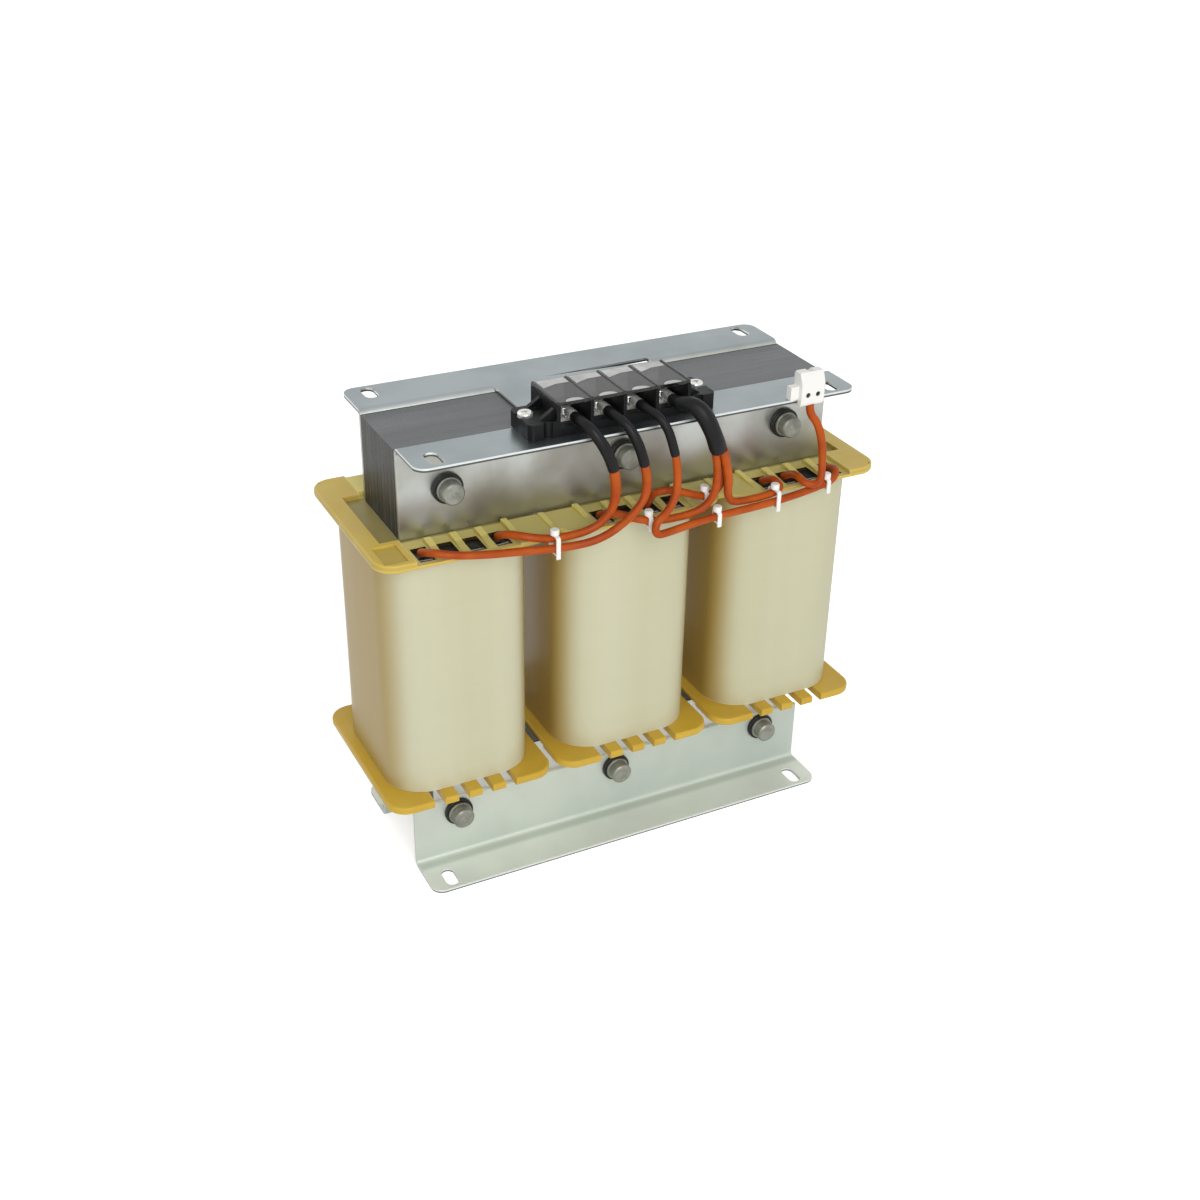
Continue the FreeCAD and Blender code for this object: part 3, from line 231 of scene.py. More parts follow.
class SurfaceEffect(Graph):
    """A shader node group that several finishes share, drawn by the method of its name."""

    STARTS: ClassVar[dict[str, dict[str, Any]]] = {
        "mottle": {"Size": 30.0, "Stretch": UNSTRETCHED, "Detail": 4.0},
        "edge_shine": {"Reach": 0.0006, "Breakup": 240.0},
        "fine_grain": {"Size": 900.0, "Stretch": UNSTRETCHED},
        "settled_dust": {"Amount": 0.2},
        "sheet_edges": {"Pitch": 0.0005},
        "facing_up": {},
        "cut_edge": {"Low": 0.0, "High": 0.002},
        "row_across": {"Middle": 0.03, "Half": 0.002, "Fade": 0.003},
        "beside_gap": {"Pitch": 0.095, "Reach": 0.01},
        "zone": {"Pitch": 1.0, "Half X": 0.1, "Half Y": 0.05, "Bottom": 0.0, "Fade": 0.002}}

    def __init__(self, name: str) -> None:
        """Makes the group with its sockets and draws it.

        Args:
            name: The group's name.
        """
        super().__init__(bpy.data.node_groups.new(name, "ShaderNodeTree"))
        sockets = self.tree.interface
        for key, start in self.STARTS[name].items():
            kind = "NodeSocketVector" if isinstance(start, tuple) else "NodeSocketFloat"
            sockets.new_socket(key, in_out="INPUT", socket_type=kind).default_value = start
        sockets.new_socket("Value", in_out="OUTPUT", socket_type="NodeSocketFloat")
        self.given = self.tree.nodes.new("NodeGroupInput").outputs
        self.feed(self.tree.nodes.new("NodeGroupOutput"), {"Value": getattr(self, name)()})

    def mottle(self) -> Socket:
        """Draws slow uneven patches, stretched along any axis."""
        patches = self.noise(self.given["Size"], self.given["Detail"], 0.55, self.given["Stretch"])
        return self.span(patches, 0.28, 0.72)

    def edge_shine(self) -> Socket:
        """Draws a mask of the edges, which take a colour for wear and painted edge light, broken up so that it isn't a
        line.

        Returns:
            The mask.
        """
        eased = self.add("Bevel", {"Radius": self.given["Reach"]}, samples=4).outputs[0]
        flat = self.add("NewGeometry").outputs["Normal"]
        facing = self.add("VectorMath", {0: eased, 1: flat}, operation="DOT_PRODUCT").outputs["Value"]
        breaks = self.span(self.noise(self.given["Breakup"], 3.0), 0.3, 0.62)
        return self.times(self.span(facing, 0.995, 0.86), breaks)

    def fine_grain(self) -> Socket:
        """Draws a fine height for a moulded, rolled or drawn surface."""
        return self.noise(self.given["Size"], 6.0, stretch=self.given["Stretch"])

    def settled_dust(self) -> Socket:
        """Draws a mask of dust that lies thinly on what faces up."""
        patches = self.times(self.span(self.facing(2), 0.6, 1.0), self.span(self.noise(60.0, 8.0, 0.7), 0.35, 0.75))
        return self.times(patches, self.given["Amount"])

    def sheet_edges(self) -> Socket:
        """Draws a value of its own for each thin sheet of a stack along Y.

        Returns:
            The value.
        """
        index = self.math("FLOOR", self.math("DIVIDE", self.along(1), self.given["Pitch"]))
        own = self.add("TexWhiteNoise", {"W": index}, noise_dimensions="1D").outputs[0]
        slow = self.add("TexNoise", {"W": self.times(index, 0.13), "Scale": 1.0, "Detail": 2.0},
                        noise_dimensions="1D").outputs[0]
        return self.weigh(own, 0.55, slow, 0.45)

    def facing_up(self) -> Socket:
        """Draws a mask of what faces up."""
        return self.span(self.facing(2), 0.55, 0.97)

    def cut_edge(self) -> Socket:
        """Draws a mask of a level sheet's upright cut edges, between two heights.

        Returns:
            The mask.
        """
        height = self.along(2)
        above = self.math("GREATER_THAN", height, self.given["Low"])
        below = self.math("LESS_THAN", height, self.given["High"])
        return self.times(self.span(self.absolute(self.facing(2)), 0.55, 0.3), self.times(above, below))

    def row_across(self) -> Socket:
        """Draws a mask of the two bands that lie at one distance before and behind the middle."""
        aside = self.absolute(self.minus(self.absolute(self.along(1)), self.given["Middle"]))
        return self.span(self.math("DIVIDE", self.minus(aside, self.given["Half"]), self.given["Fade"]), 1.0, 0.0)

    def beside_gap(self) -> Socket:
        """Draws a mask of the narrow gaps between neighbouring coils, where shade and yellow light bounced from the
        formers are painted.

        Returns:
            The mask.
        """
        aside = self.absolute(self.math("WRAP", self.along(0), self.given["Pitch"], 0.0))
        near = self.absolute(self.minus(aside, self.times(self.given["Pitch"], 0.5)))
        return self.span(self.math("DIVIDE", near, self.given["Reach"]), 1.0, 0.25)

    def zone(self) -> Socket:
        """Draws a soft-edged mask of boxes in a row along X, from a height up.

        Returns:
            The mask.
        """
        half = self.times(self.given["Pitch"], 0.5)
        row = self.math("WRAP", self.along(0), half, self.times(half, -1.0))
        inside: Any = 1.0
        for place, limit in ((row, "Half X"), (self.along(1), "Half Y")):
            share = self.math("DIVIDE", self.minus(self.given[limit], self.absolute(place)), self.given["Fade"])
            inside = self.times(inside, self.span(share, 0.0, 1.0))
        above = self.math("DIVIDE", self.minus(self.along(2), self.given["Bottom"]), self.given["Fade"])
        return self.times(inside, self.span(above, 0.0, 0.3))


@dataclass(frozen=True)
class Finish:
    """A surface finish with its name and its two limits of roughness."""

    name: str
    smooth: float
    rough: float

    def material(self) -> bpy.types.Material:
        """Gives the finish's material, which is built on its first use.

        Returns:
            The material.
        """
        made = bpy.data.materials.get(self.name)
        if made is None:
            made = bpy.data.materials.new(self.name)
            made.use_nodes = True
            graph = Graph(made.node_tree)
            graph.feed(made.node_tree.nodes["Principled BSDF"], self.inputs(graph))
        return made

    def roughness(self, graph: Graph, mottled: Socket, low: float, high: float) -> Socket:
        """Spreads the roughness between its limits by how worn the surface is."""
        return graph.span(mottled, low, high, self.smooth, self.rough)

    def inputs(self, graph: Graph) -> dict[str, Any]:
        """Gives the shader's inputs by name; each kind of finish has its own."""
        raise NotImplementedError


@dataclass(frozen=True)
class MetalFinish(Finish):
    """Bare, plated or phosphated metal with patches, drawn lines and edges lightened by wear and a painted highlight;
    where given, painted light and shade on up-facing faces, bends and cut edges.
    """

    colour: Colour
    patch: Colour
    edge: Colour
    patch_size: float
    line_size: float
    drawn: Point = UNSTRETCHED
    line_depth: float = 0.00001
    edge_reach: float = 0.0005
    edge_share: float = 0.7
    metallic: float = 1.0
    dust: float = 0.0
    dusty: Colour = linear(150, 148, 140)
    # Painted light and shade: a tone of its own for faces that look up, set by how the light falls on them
    top: Colour | None = None
    top_patch_share: float = 0.86
    # Painted light and shade on the cut edges: one colour for each band of height, a painted shadow below and a painted
    # highlight above
    cut_edge_light_shade: tuple[Colour, ...] = ()
    sheared_low: float = 245.0 * MM
    sheared_band: float = 0.95 * MM
    # Painted shade: a darker band on the foot in front of the bend, with its place, half width and fade
    bend_shade: Colour | None = None
    bend_shade_row: Point = (29.8 * MM, 0.8 * MM, 4.0 * MM)
    bend_shade_share: float = 0.55

    def inputs(self, graph: Graph) -> dict[str, Any]:
        """Draws colour, roughness and relief.

        Args:
            graph: The material's graph.

        Returns:
            The shader's inputs, by name.
        """
        patches = graph.effect("mottle", Size=self.patch_size)
        lines = graph.effect("fine_grain", Size=self.line_size, Stretch=self.drawn)
        colour = graph.mix(patches, self.colour, self.patch)
        # Painted light and shade: faces that look up take the top tone, mottled by patches
        if self.top:
            mottled = graph.mix(patches, self.top, scaled(self.top, self.top_patch_share))
            # Painted shade band in front of the bend
            if self.bend_shade:
                middle, half, fade = self.bend_shade_row
                band = graph.effect("row_across", Middle=middle, Half=half, Fade=fade)
                mottled = graph.mix(graph.times(band, self.bend_shade_share), mottled, self.bend_shade)
            colour = graph.mix(graph.effect("facing_up"), colour, mottled)
        # The edge colour stands for wear together with a painted highlight on the eased edges; on the foot it is
        # darker, a painted shade
        edges = graph.effect("edge_shine", Reach=self.edge_reach)
        colour = graph.mix(graph.times(edges, self.edge_share), colour, self.edge)
        # Painted shadow on the lower band of each cut edge and painted highlight on the upper band
        for number, shade in enumerate(self.cut_edge_light_shade):
            low = self.sheared_low + number * self.sheared_band
            colour = graph.mix(graph.effect("cut_edge", Low=low, High=low + self.sheared_band), colour, shade)
        roughness = self.roughness(graph, graph.weigh(patches, 0.6, lines, 0.4), 0.2, 0.8)
        if self.dust:
            mask = graph.effect("settled_dust", Amount=self.dust)
            colour = graph.mix(mask, colour, self.dusty)
            roughness = graph.math("ADD", roughness, graph.times(mask, 0.5))
        return {"Base Color": colour, "Roughness": roughness, "Metallic": self.metallic,
                "Normal": graph.relief(lines, self.line_depth)}


@dataclass(frozen=True)
class MouldedFinish(Finish):
    """Moulded plastic or rubber with a fine skin, slow colour changes and paler edges."""

    colour: Colour
    deep: Colour
    edge: Colour
    patch_size: float = 25.0
    skin_size: float = 1400.0
    skin_depth: float = 0.00002
    edge_share: float = 0.35
    specular: float = 0.5
    glow: float = 0.0

    def base(self, graph: Graph) -> Socket:
        """Gives the colour without the paler edges."""
        return graph.mix(graph.effect("mottle", Size=self.patch_size, Detail=3.0), self.colour, self.deep)

    def inputs(self, graph: Graph) -> dict[str, Any]:
        """Draws colour, roughness and relief.

        Args:
            graph: The material's graph.

        Returns:
            The shader's inputs, by name.
        """
        # Paler edges: wear together with a painted highlight
        edges = graph.times(graph.effect("edge_shine", Breakup=160.0), self.edge_share)
        mottled = graph.effect("mottle", Size=90.0, Detail=5.0)
        skin = graph.effect("fine_grain", Size=self.skin_size)
        inputs = {"Base Color": graph.mix(edges, self.base(graph), self.edge),
                  "Roughness": self.roughness(graph, mottled, 0.1, 0.9), "Specular IOR Level": self.specular,
                  "Normal": graph.relief(skin, self.skin_depth)}
        if self.glow:
            inputs |= {"Subsurface Weight": self.glow, "Subsurface Radius": (1.0, 0.7, 0.35),
                       "Subsurface Scale": 1.5 * MM}
        return inputs


@dataclass(frozen=True)
class FormerFinish(MouldedFinish):
    """The formers' plastic: amber on the thick rims, paler in the lead bays where light through the thin plastic is
    painted, with painted shade in the trays, the trough and the slot walls.
    """

    # Painted light: a paler tone where light shining through the thin plastic is painted
    pale: Colour = (0.7, 0.6, 0.3)
    # Painted shade for the tray floors and the trough under the yoke
    recess_shade: Colour = (0.3, 0.25, 0.12)
    # Painted shade on the walls of the lead slots
    slot_shade: Colour = (0.02, 0.015, 0.01)
    pale_half: float = 122.4 * MM
    whole_half: float = 150.0 * MM
    whole_depth: float = 60.0 * MM
    trough_end: float = 131.0 * MM
    trough_half: float = 27.4 * MM
    floors: float = 197.6 * MM
    rims: float = 199.4 * MM
    pitch: float = 95.0 * MM
    bay: Point = (24.2 * MM, 49.7 * MM, 195.0 * MM)
    wall_low: float = 195.9 * MM
    wall_high: float = 197.7 * MM
    fade: float = 1.2 * MM
    trough_fade: float = 0.8 * MM
    bay_fade: float = 0.2 * MM
    # Height from which the upper flanges take a share of the painted pale light
    glow_from: float = 195.6 * MM

    def base(self, graph: Graph) -> Socket:
        """Gives the amber, and the colours inside the upper flanges.

        Args:
            graph: The material's graph.

        Returns:
            The colour.
        """
        def zone(half_x: float, half_y: float, bottom: float, fade: float = self.fade, pitch: float = 1.0) -> Socket:
            """Masks a box, or a row of them."""
            return graph.effect("zone", Pitch=pitch, Half_X=half_x, Half_Y=half_y, Bottom=bottom, Fade=fade)

        # Painted light: the upper flanges paler by a share, and fully pale where light through the thin floors is
        # painted
        upper_glow, floors, rims = [zone(self.whole_half, self.whole_depth, level)
                               for level in (self.glow_from, self.floors, self.rims)]
        amber = graph.mix(graph.times(upper_glow, 0.3), super().base(graph), self.pale)
        colour = graph.mix(zone(self.pale_half, self.whole_depth, self.floors), amber, self.pale)
        # Painted shade on the tray and bay floors between the floor and rim levels, and in the trough where the yoke
        # sits
        colour = graph.mix(graph.times(graph.minus(floors, rims), 0.35), colour, self.recess_shade)
        trough = zone(self.trough_end, self.trough_half, self.floors, self.trough_fade)
        # Painted shade: the upright walls of the lead slots darkened
        walls = graph.times(zone(*self.bay, self.bay_fade, self.pitch),
                            graph.effect("cut_edge", Low=self.wall_low, High=self.wall_high))
        return graph.mix(walls, graph.mix(trough, colour, self.recess_shade), self.slot_shade)


@dataclass(frozen=True)
class LaminationFinish(Finish):
    """The edges of a stack of thin sheets, varnished, each with its own tone; painted light on the tops and flat faces,
    painted shade on the other faces and a painted shadow line at the seam.
    """

    dark: Colour
    light: Colour
    # Real stain in random patches, and painted shade on the faces that do not look up
    stain_and_shade: Colour
    # Painted light: the paler tone of the faces that look up
    top: Colour
    # The flat faces' own grey, made paler as painted light where they lie in shade
    flat: Colour
    pitch: float = 0.5 * MM
    # Painted shadow: a thin dark line on the top where the yoke meets the clamp sheet, with its place, half width and
    # fade
    seam: float = 23.2 * MM
    seam_shadow_half: float = 0.6 * MM
    seam_shadow_fade: float = 0.3 * MM

    def inputs(self, graph: Graph) -> dict[str, Any]:
        """Draws colour, roughness and relief.

        Args:
            graph: The material's graph.

        Returns:
            The shader's inputs, by name.
        """
        sheets = graph.effect("sheet_edges", Pitch=self.pitch)
        patches = graph.effect("mottle", Size=14.0, Stretch=(1.0, 3.0, 1.0))
        streaks = graph.effect("mottle", Size=16.0, Stretch=(0.2, 2.6, 1.0))
        rolled = graph.effect("fine_grain", Size=260.0, Stretch=(0.06, 4.0, 0.06))
        upward = graph.effect("facing_up")
        # Painted shadow line at the seam
        seam = graph.effect("row_across", Middle=self.seam, Half=self.seam_shadow_half, Fade=self.seam_shadow_fade)
        # Painted light for the tops, streaked with the sheets' light tone
        bare = graph.mix(graph.times(streaks, 0.55), self.top, self.light)
        colour = graph.mix(sheets, self.dark, self.light)
        # Layers over the sheets: random stain patches; painted shade on faces that do not look up; painted light on
        # faces that look up; a painted shadow line at the seam; the flat faces' grey made paler as painted light
        for share, over in ((graph.times(patches, 0.3), self.stain_and_shade),
                            (graph.times(graph.minus(1.0, upward), 0.8), self.stain_and_shade),
                            (graph.times(upward, 0.85), bare),
                            (graph.times(seam, upward), scaled(self.dark, 0.1)),
                            (graph.span(graph.absolute(graph.facing(1)), 0.7, 0.98), self.flat)):
            colour = graph.mix(share, colour, over)
        uneven = graph.weigh(sheets, 0.5, rolled, 0.5)
        return {"Base Color": colour, "Roughness": self.roughness(graph, uneven, 0.2, 0.8), "Metallic": 0.75,
                "Coat Weight": 0.08, "Coat Roughness": 0.3, "Normal": graph.relief(uneven, 0.00004)}


@dataclass(frozen=True)
class FilmFinish(Finish):
    """Cream insulating film, with the turns under it showing as faint bands, painted shade under the flanges and
    painted shade with yellow bounce light between coils.
    """

    colour: Colour
    deep: Colour
    # Painted shade with yellow light bounced from the formers, in the gaps between coils
    gap_shade_and_bounce: Colour
    # Painted shade: the dark band at the top of the film, under the flanges
    rim: Colour
    edge: Colour
    rim_level: float = 192.7 * MM
    rim_fade: float = 0.8 * MM
    gap_shade_reach: float = 19.0 * MM

    def inputs(self, graph: Graph) -> dict[str, Any]:
        """Draws colour, roughness and relief.

        Args:
            graph: The material's graph.

        Returns:
            The shader's inputs, by name.
        """
        upright = graph.effect("mottle", Size=22.0, Stretch=(1.0, 1.0, 0.06), Detail=3.0)
        turns = graph.effect("mottle", Size=160.0, Stretch=(0.05, 0.05, 1.0), Detail=2.0)
        colour = graph.mix(graph.weigh(upright, 0.6, turns, 0.08), self.colour, self.deep)
        # Painted shade and yellow bounce light beside the gaps between coils
        colour = graph.mix(graph.effect("beside_gap", Reach=self.gap_shade_reach), colour, self.gap_shade_and_bounce)
        # Painted shade under the flanges, above a height
        under_rim = graph.span(graph.along(2), self.rim_level, self.rim_level + self.rim_fade)
        # Paler edges: a painted highlight together with wear
        edges = graph.times(graph.effect("edge_shine", Reach=0.0008, Breakup=120.0), 0.4)
        colour = graph.mix(edges, graph.mix(under_rim, colour, self.rim), self.edge)
        uneven = graph.weigh(turns, 0.6, graph.effect("fine_grain", Size=700.0), 0.4)
        return {"Base Color": colour, "Roughness": self.roughness(graph, upright, 0.0, 1.0),
                "Coat Weight": 0.12, "Coat Roughness": 0.25, "Normal": graph.relief(uneven, 0.00004)}


@dataclass(frozen=True)
class ClearFinish(Finish):
    """Clear plastic, slightly smoked, with a fine handling haze."""

    tint: Colour
    haze: Colour

    def inputs(self, graph: Graph) -> dict[str, Any]:
        """Draws colour and roughness; the rest is plain glass."""
        mottled = graph.effect("mottle", Size=70.0, Detail=6.0)
        return {"Base Color": graph.mix(mottled, self.tint, self.haze),
                "Roughness": self.roughness(graph, mottled, 0.2, 0.9), "Transmission Weight": 1.0, "IOR": 1.49}


# Painted shade on up-facing faces, a paler edge colour for wear and a painted highlight, and a painted shadow and
# highlight on the cut edge
SHEET_STEEL = MetalFinish(
    "zinc_coated_sheet", 0.3, 0.4, linear(196, 200, 197), linear(158, 159, 148), linear(226, 229, 228), 20.0, 420.0,
    (0.05, 1.0, 1.0), line_depth=0.000006, dust=0.04, top=linear(158, 166, 169),
    cut_edge_light_shade=(linear(88, 90, 88), linear(216, 221, 219)))
# Painted light on the up-facing foot, painted shade in a band in front of the bend, a darker edge colour as painted
# shade, and a painted shadow and highlight on the cut edge
FOOT_STEEL = MetalFinish(
    "zinc_coated_foot", 0.36, 0.5, linear(206, 214, 204), linear(190, 199, 191), linear(170, 176, 170), 14.0, 360.0,
    (0.05, 1.0, 1.0), line_depth=0.000005, metallic=0.3, top=linear(238, 245, 236),
    cut_edge_light_shade=(linear(104, 110, 106), linear(226, 232, 226)), sheared_low=0.0, bend_shade=linear(168, 178, 166))
BOLT_STEEL = MetalFinish(
    "phosphated_bolt", 0.34, 0.5, linear(152, 153, 143), linear(124, 126, 117), linear(198, 198, 188), 160.0, 900.0,
    edge_share=0.85, edge_reach=0.0004, metallic=0.5)
BRIGHT_PLATE = MetalFinish(
    "nickel_plate", 0.12, 0.26, linear(236, 236, 232), linear(214, 213, 208), linear(250, 250, 248), 200.0, 1200.0,
    metallic=0.7)
TIN_PLATE = MetalFinish(
    "tin_plate", 0.14, 0.3, linear(250, 250, 246), linear(176, 175, 170), linear(246, 245, 240), 220.0, 1000.0,
    metallic=0.5)
# The third colour is real stain and painted shade, the fourth painted light on the tops, the fifth the flat faces' grey
# made paler as painted light
CORE_EDGES = LaminationFinish(
    "varnished_laminations", 0.38, 0.55, linear(60, 62, 60), linear(76, 78, 74), linear(34, 33, 27),
    linear(118, 122, 125), linear(196, 198, 196))
WASHER_BLACK = MouldedFinish(
    "washer_black", 0.3, 0.45, linear(28, 29, 28), linear(20, 21, 20), linear(62, 64, 62), skin_size=2200.0,
    specular=0.35)
BLOCK_BLACK = MouldedFinish(
    "block_black", 0.38, 0.52, linear(16, 17, 18), linear(11, 12, 13), linear(56, 58, 60), skin_size=1800.0,
    skin_depth=0.00003, specular=0.2)
# The pale tone is painted light through thin plastic; the two darker colours are painted shade in the recesses and on
# the slot walls
FORMER_YELLOW = FormerFinish(
    "former_yellow", 0.32, 0.46, linear(208, 173, 60), linear(198, 160, 50), linear(224, 196, 96),
    skin_depth=0.000015, specular=0.35, glow=0.06, pale=linear(230, 214, 124), recess_shade=linear(156, 142, 84),
    slot_shade=linear(48, 38, 24))
# The third colour is painted shade with yellow bounce light between coils, the fourth painted shade under the flanges
WRAP_CREAM = FilmFinish(
    "wrap_cream", 0.34, 0.44, linear(202, 200, 171), linear(190, 187, 151), linear(166, 134, 40),
    linear(44, 36, 28), linear(236, 230, 206))
WINDING_DARK = MouldedFinish(
    "impregnated_winding", 0.45, 0.65, linear(20, 16, 12), linear(12, 10, 8), linear(90, 64, 44), skin_size=500.0,
    skin_depth=0.0002)
SPACER_BOARD = MouldedFinish(
    "gap_board", 0.4, 0.6, linear(196, 184, 140), linear(176, 164, 120), linear(212, 204, 170))
LEAD_ORANGE = MouldedFinish(
    "lead_orange", 0.36, 0.5, linear(188, 86, 16), linear(160, 62, 8), linear(192, 92, 34), patch_size=70.0,
    skin_size=900.0, skin_depth=0.00003, specular=0.22)
SLEEVE_BLACK = MouldedFinish(
    "shrunk_sleeve", 0.36, 0.48, linear(20, 20, 22), linear(14, 14, 16), linear(60, 60, 62), skin_size=1100.0,
    skin_depth=0.00006, specular=0.22)
NYLON_WHITE = MouldedFinish(
    "white_nylon", 0.36, 0.5, linear(222, 219, 209), linear(210, 206, 194), linear(236, 234, 226), glow=0.1)
COVER_CLEAR = ClearFinish("smoked_cover", 0.05, 0.14, linear(72, 71, 68), linear(104, 103, 100))
# Painted reflection: white patches that stand for the highlights on the cover
COVER_HIGHLIGHT = MouldedFinish(
    "painted_cover_highlight", 0.3, 0.45, linear(214, 214, 211), linear(184, 184, 180), linear(236, 236, 233),
    patch_size=120.0, skin_size=1600.0)
# Painted shade: a dark colour for the discs in the plug's holes
HOLE_SHADE = MouldedFinish(
    "plug_hole_shade", 0.5, 0.7, linear(64, 58, 50), linear(34, 32, 28), linear(96, 90, 80), patch_size=400.0)


def put(name: str, data: bpy.types.ID) -> bpy.types.Object:
    """Puts a new object with its data into the scene.

    Args:
        name: The object's name.
        data: Its mesh, curve, lamp or camera.

    Returns:
        The object.
    """
    made = bpy.data.objects.new(name, data)
    bpy.context.scene.collection.objects.link(made)
    return made


def add_piece(name: str, data: bpy.types.ID, finish: Finish,
              stands_for: Sequence[str] = ()) -> bpy.types.Object:
    """Makes a piece of the object from a finished mesh or curve.

    Args:
        name: The piece's name.
        data: Its mesh or curve, in metres in the part's frame.
        finish: Its finish.
        stands_for: The CAD nodes that it stands for.

    Returns:
        The piece, which rides on the part.
    """
    piece = put(name, data)
    piece.data.materials.append(finish.material())
    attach(piece, "root")
    if stands_for:
        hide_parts(*stands_for)
    LOG.info("piece %s: %s", name, finish.name)
    return piece


def evaluated_mesh(source: bpy.types.Object) -> bpy.types.Mesh:
    """Gives a new mesh of an object as its modifiers leave it."""
    bpy.context.view_layer.update()
    return bpy.data.meshes.new_from_object(source.evaluated_get(bpy.context.evaluated_depsgraph_get()))


def mesh_from(name: str, build: Callable[[Shape], None], smooth_angle: float = 32.0) -> bpy.types.Mesh:
    """Makes a mesh and shades it smooth, except at its sharp edges.

    Args:
        name: The mesh's name.
        build: The function that fills the mesh.
        smooth_angle: Edges sharper than this, in degrees, stay sharp.

    Returns:
        The mesh.
    """
    mesh = bpy.data.meshes.new(name)
    shape = bmesh.new()
    build(shape)
    bmesh.ops.recalc_face_normals(shape, faces=shape.faces)
    for face in shape.faces:
        face.smooth = True
    limit = math.radians(smooth_angle)
    for edge in shape.edges:
        edge.smooth = not (len(edge.link_faces) == 2 and edge.calc_face_angle() > limit)
    shape.to_mesh(mesh)
    shape.free()
    return mesh


def join_rings(shape: Shape, rings: Sequence[Ring], ends: Ends) -> None:
    """Joins rings of equal length with faces.

    Args:
        shape: The mesh being built.
        rings: The rings in order, each a closed loop of vertices.
        ends: What becomes of the first and the last one.
    """
    pairs = list(zip(rings, rings[1:]))
    if ends is Ends.JOINED:
        pairs.append((rings[-1], rings[0]))
    for first, second in pairs:
        for index, start in enumerate(first):
            after = (index + 1) % len(first)
            shape.faces.new((start, first[after], second[after], second[index]))
    if ends is Ends.CAPPED:
        shape.faces.new(reversed(rings[0]))
        shape.faces.new(rings[-1])


def add_skin(shape: Shape, loops: Sequence[Sequence[Any]], ends: Ends = Ends.CAPPED) -> list[Ring]:
    """Draws rings through loops of points, and joins them.

    Args:
        shape: The mesh being built.
        loops: The loops in order, each with the same number of points.
        ends: What becomes of the first and the last one.

    Returns:
        The rings.
    """
    rings = [[shape.verts.new(point) for point in loop] for loop in loops]
    join_rings(shape, rings, ends)
    return rings


def add_slab(shape: Shape, outline: Sequence[Pair], bottom: float, top: float) -> None:
    """Draws a closed flat slab over an outline in X and Y."""
    add_skin(shape, [[(x, y, z) for x, y in outline] for z in (bottom, top)])


Prism = tuple[Sequence[Pair], float, float]


def prism_mesh(name: str, prisms: Sequence[Prism]) -> bpy.types.Mesh:
    """Makes a mesh of closed prisms that run along X.

    Args:
        name: The mesh's name.
        prisms: The section of each, as Y and Z, its middle and half its length, in millimetres.

    Returns:
        The mesh.
    """
    def build(shape: Shape) -> None:
        """Draws each prism."""
        for section, middle, half in prisms:
            add_skin(shape, [[(x * MM, y * MM, z * MM) for y, z in section] for x in (middle - half, middle + half)])

    return mesh_from(name, build)


def circle(sides: int) -> list[float]:
    """Gives the angles at which the corners of an even polygon lie."""
    return [2 * math.pi * side / sides for side in range(sides)]


def ease_edges(piece: bpy.types.Object, width: float, segments: int = 2) -> None:
    """Eases a piece's sharp edges with modifiers.

    Args:
        piece: The piece.
        width: How wide the eased edge is.
        segments: How many faces go round it.
    """
    new = piece.modifiers.new
    set_up(new("weld", "WELD"), merge_threshold=WELD)
    set_up(new("whole_faces", "DECIMATE"), decimate_type="DISSOLVE", angle_limit=FLAT)
    set_up(new("eased_edges", "BEVEL"), width=width, segments=segments, limit_method="ANGLE", angle_limit=SHARP,
           use_clamp_overlap=True)
    set_up(new("even_shading", "WEIGHTED_NORMAL"), keep_sharp=False, weight=100)


def dress_node(node: str, finish: Finish, ease: float = 0.0, segments: int = 2) -> None:
    """Dresses a CAD node that already has the right shape.

    Args:
        node: The node's name.
        finish: Its finish.
        ease: How wide its eased edges are, in millimetres; 0 leaves them sharp.
        segments: How many faces go round an eased edge.
    """
    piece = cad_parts[node]
    piece.data.materials.clear()
    piece.data.materials.append(finish.material())
    if ease:
        ease_edges(piece, ease * MM, segments)
    LOG.info("node %s: %s", node, finish.name)


@dataclass
class DrawnPiece:
    """A piece whose mesh is drawn by its own build method."""

    name: str
    node: str = field(default="", kw_only=True)
    finish: ClassVar[Finish]
    slot: ClassVar[str]
    smooth_angle: ClassVar[float] = 32.0

    def build(self, shape: Shape) -> None:
        """Draws the mesh; each kind of piece has its own."""
        raise NotImplementedError

    def dress(self) -> None:
        """Makes the piece, which stands for its CAD node if it has one."""
        mesh = mesh_from(self.name, self.build, self.smooth_angle)
        add_piece(self.name, mesh, self.finish, [self.node] if self.node else ())


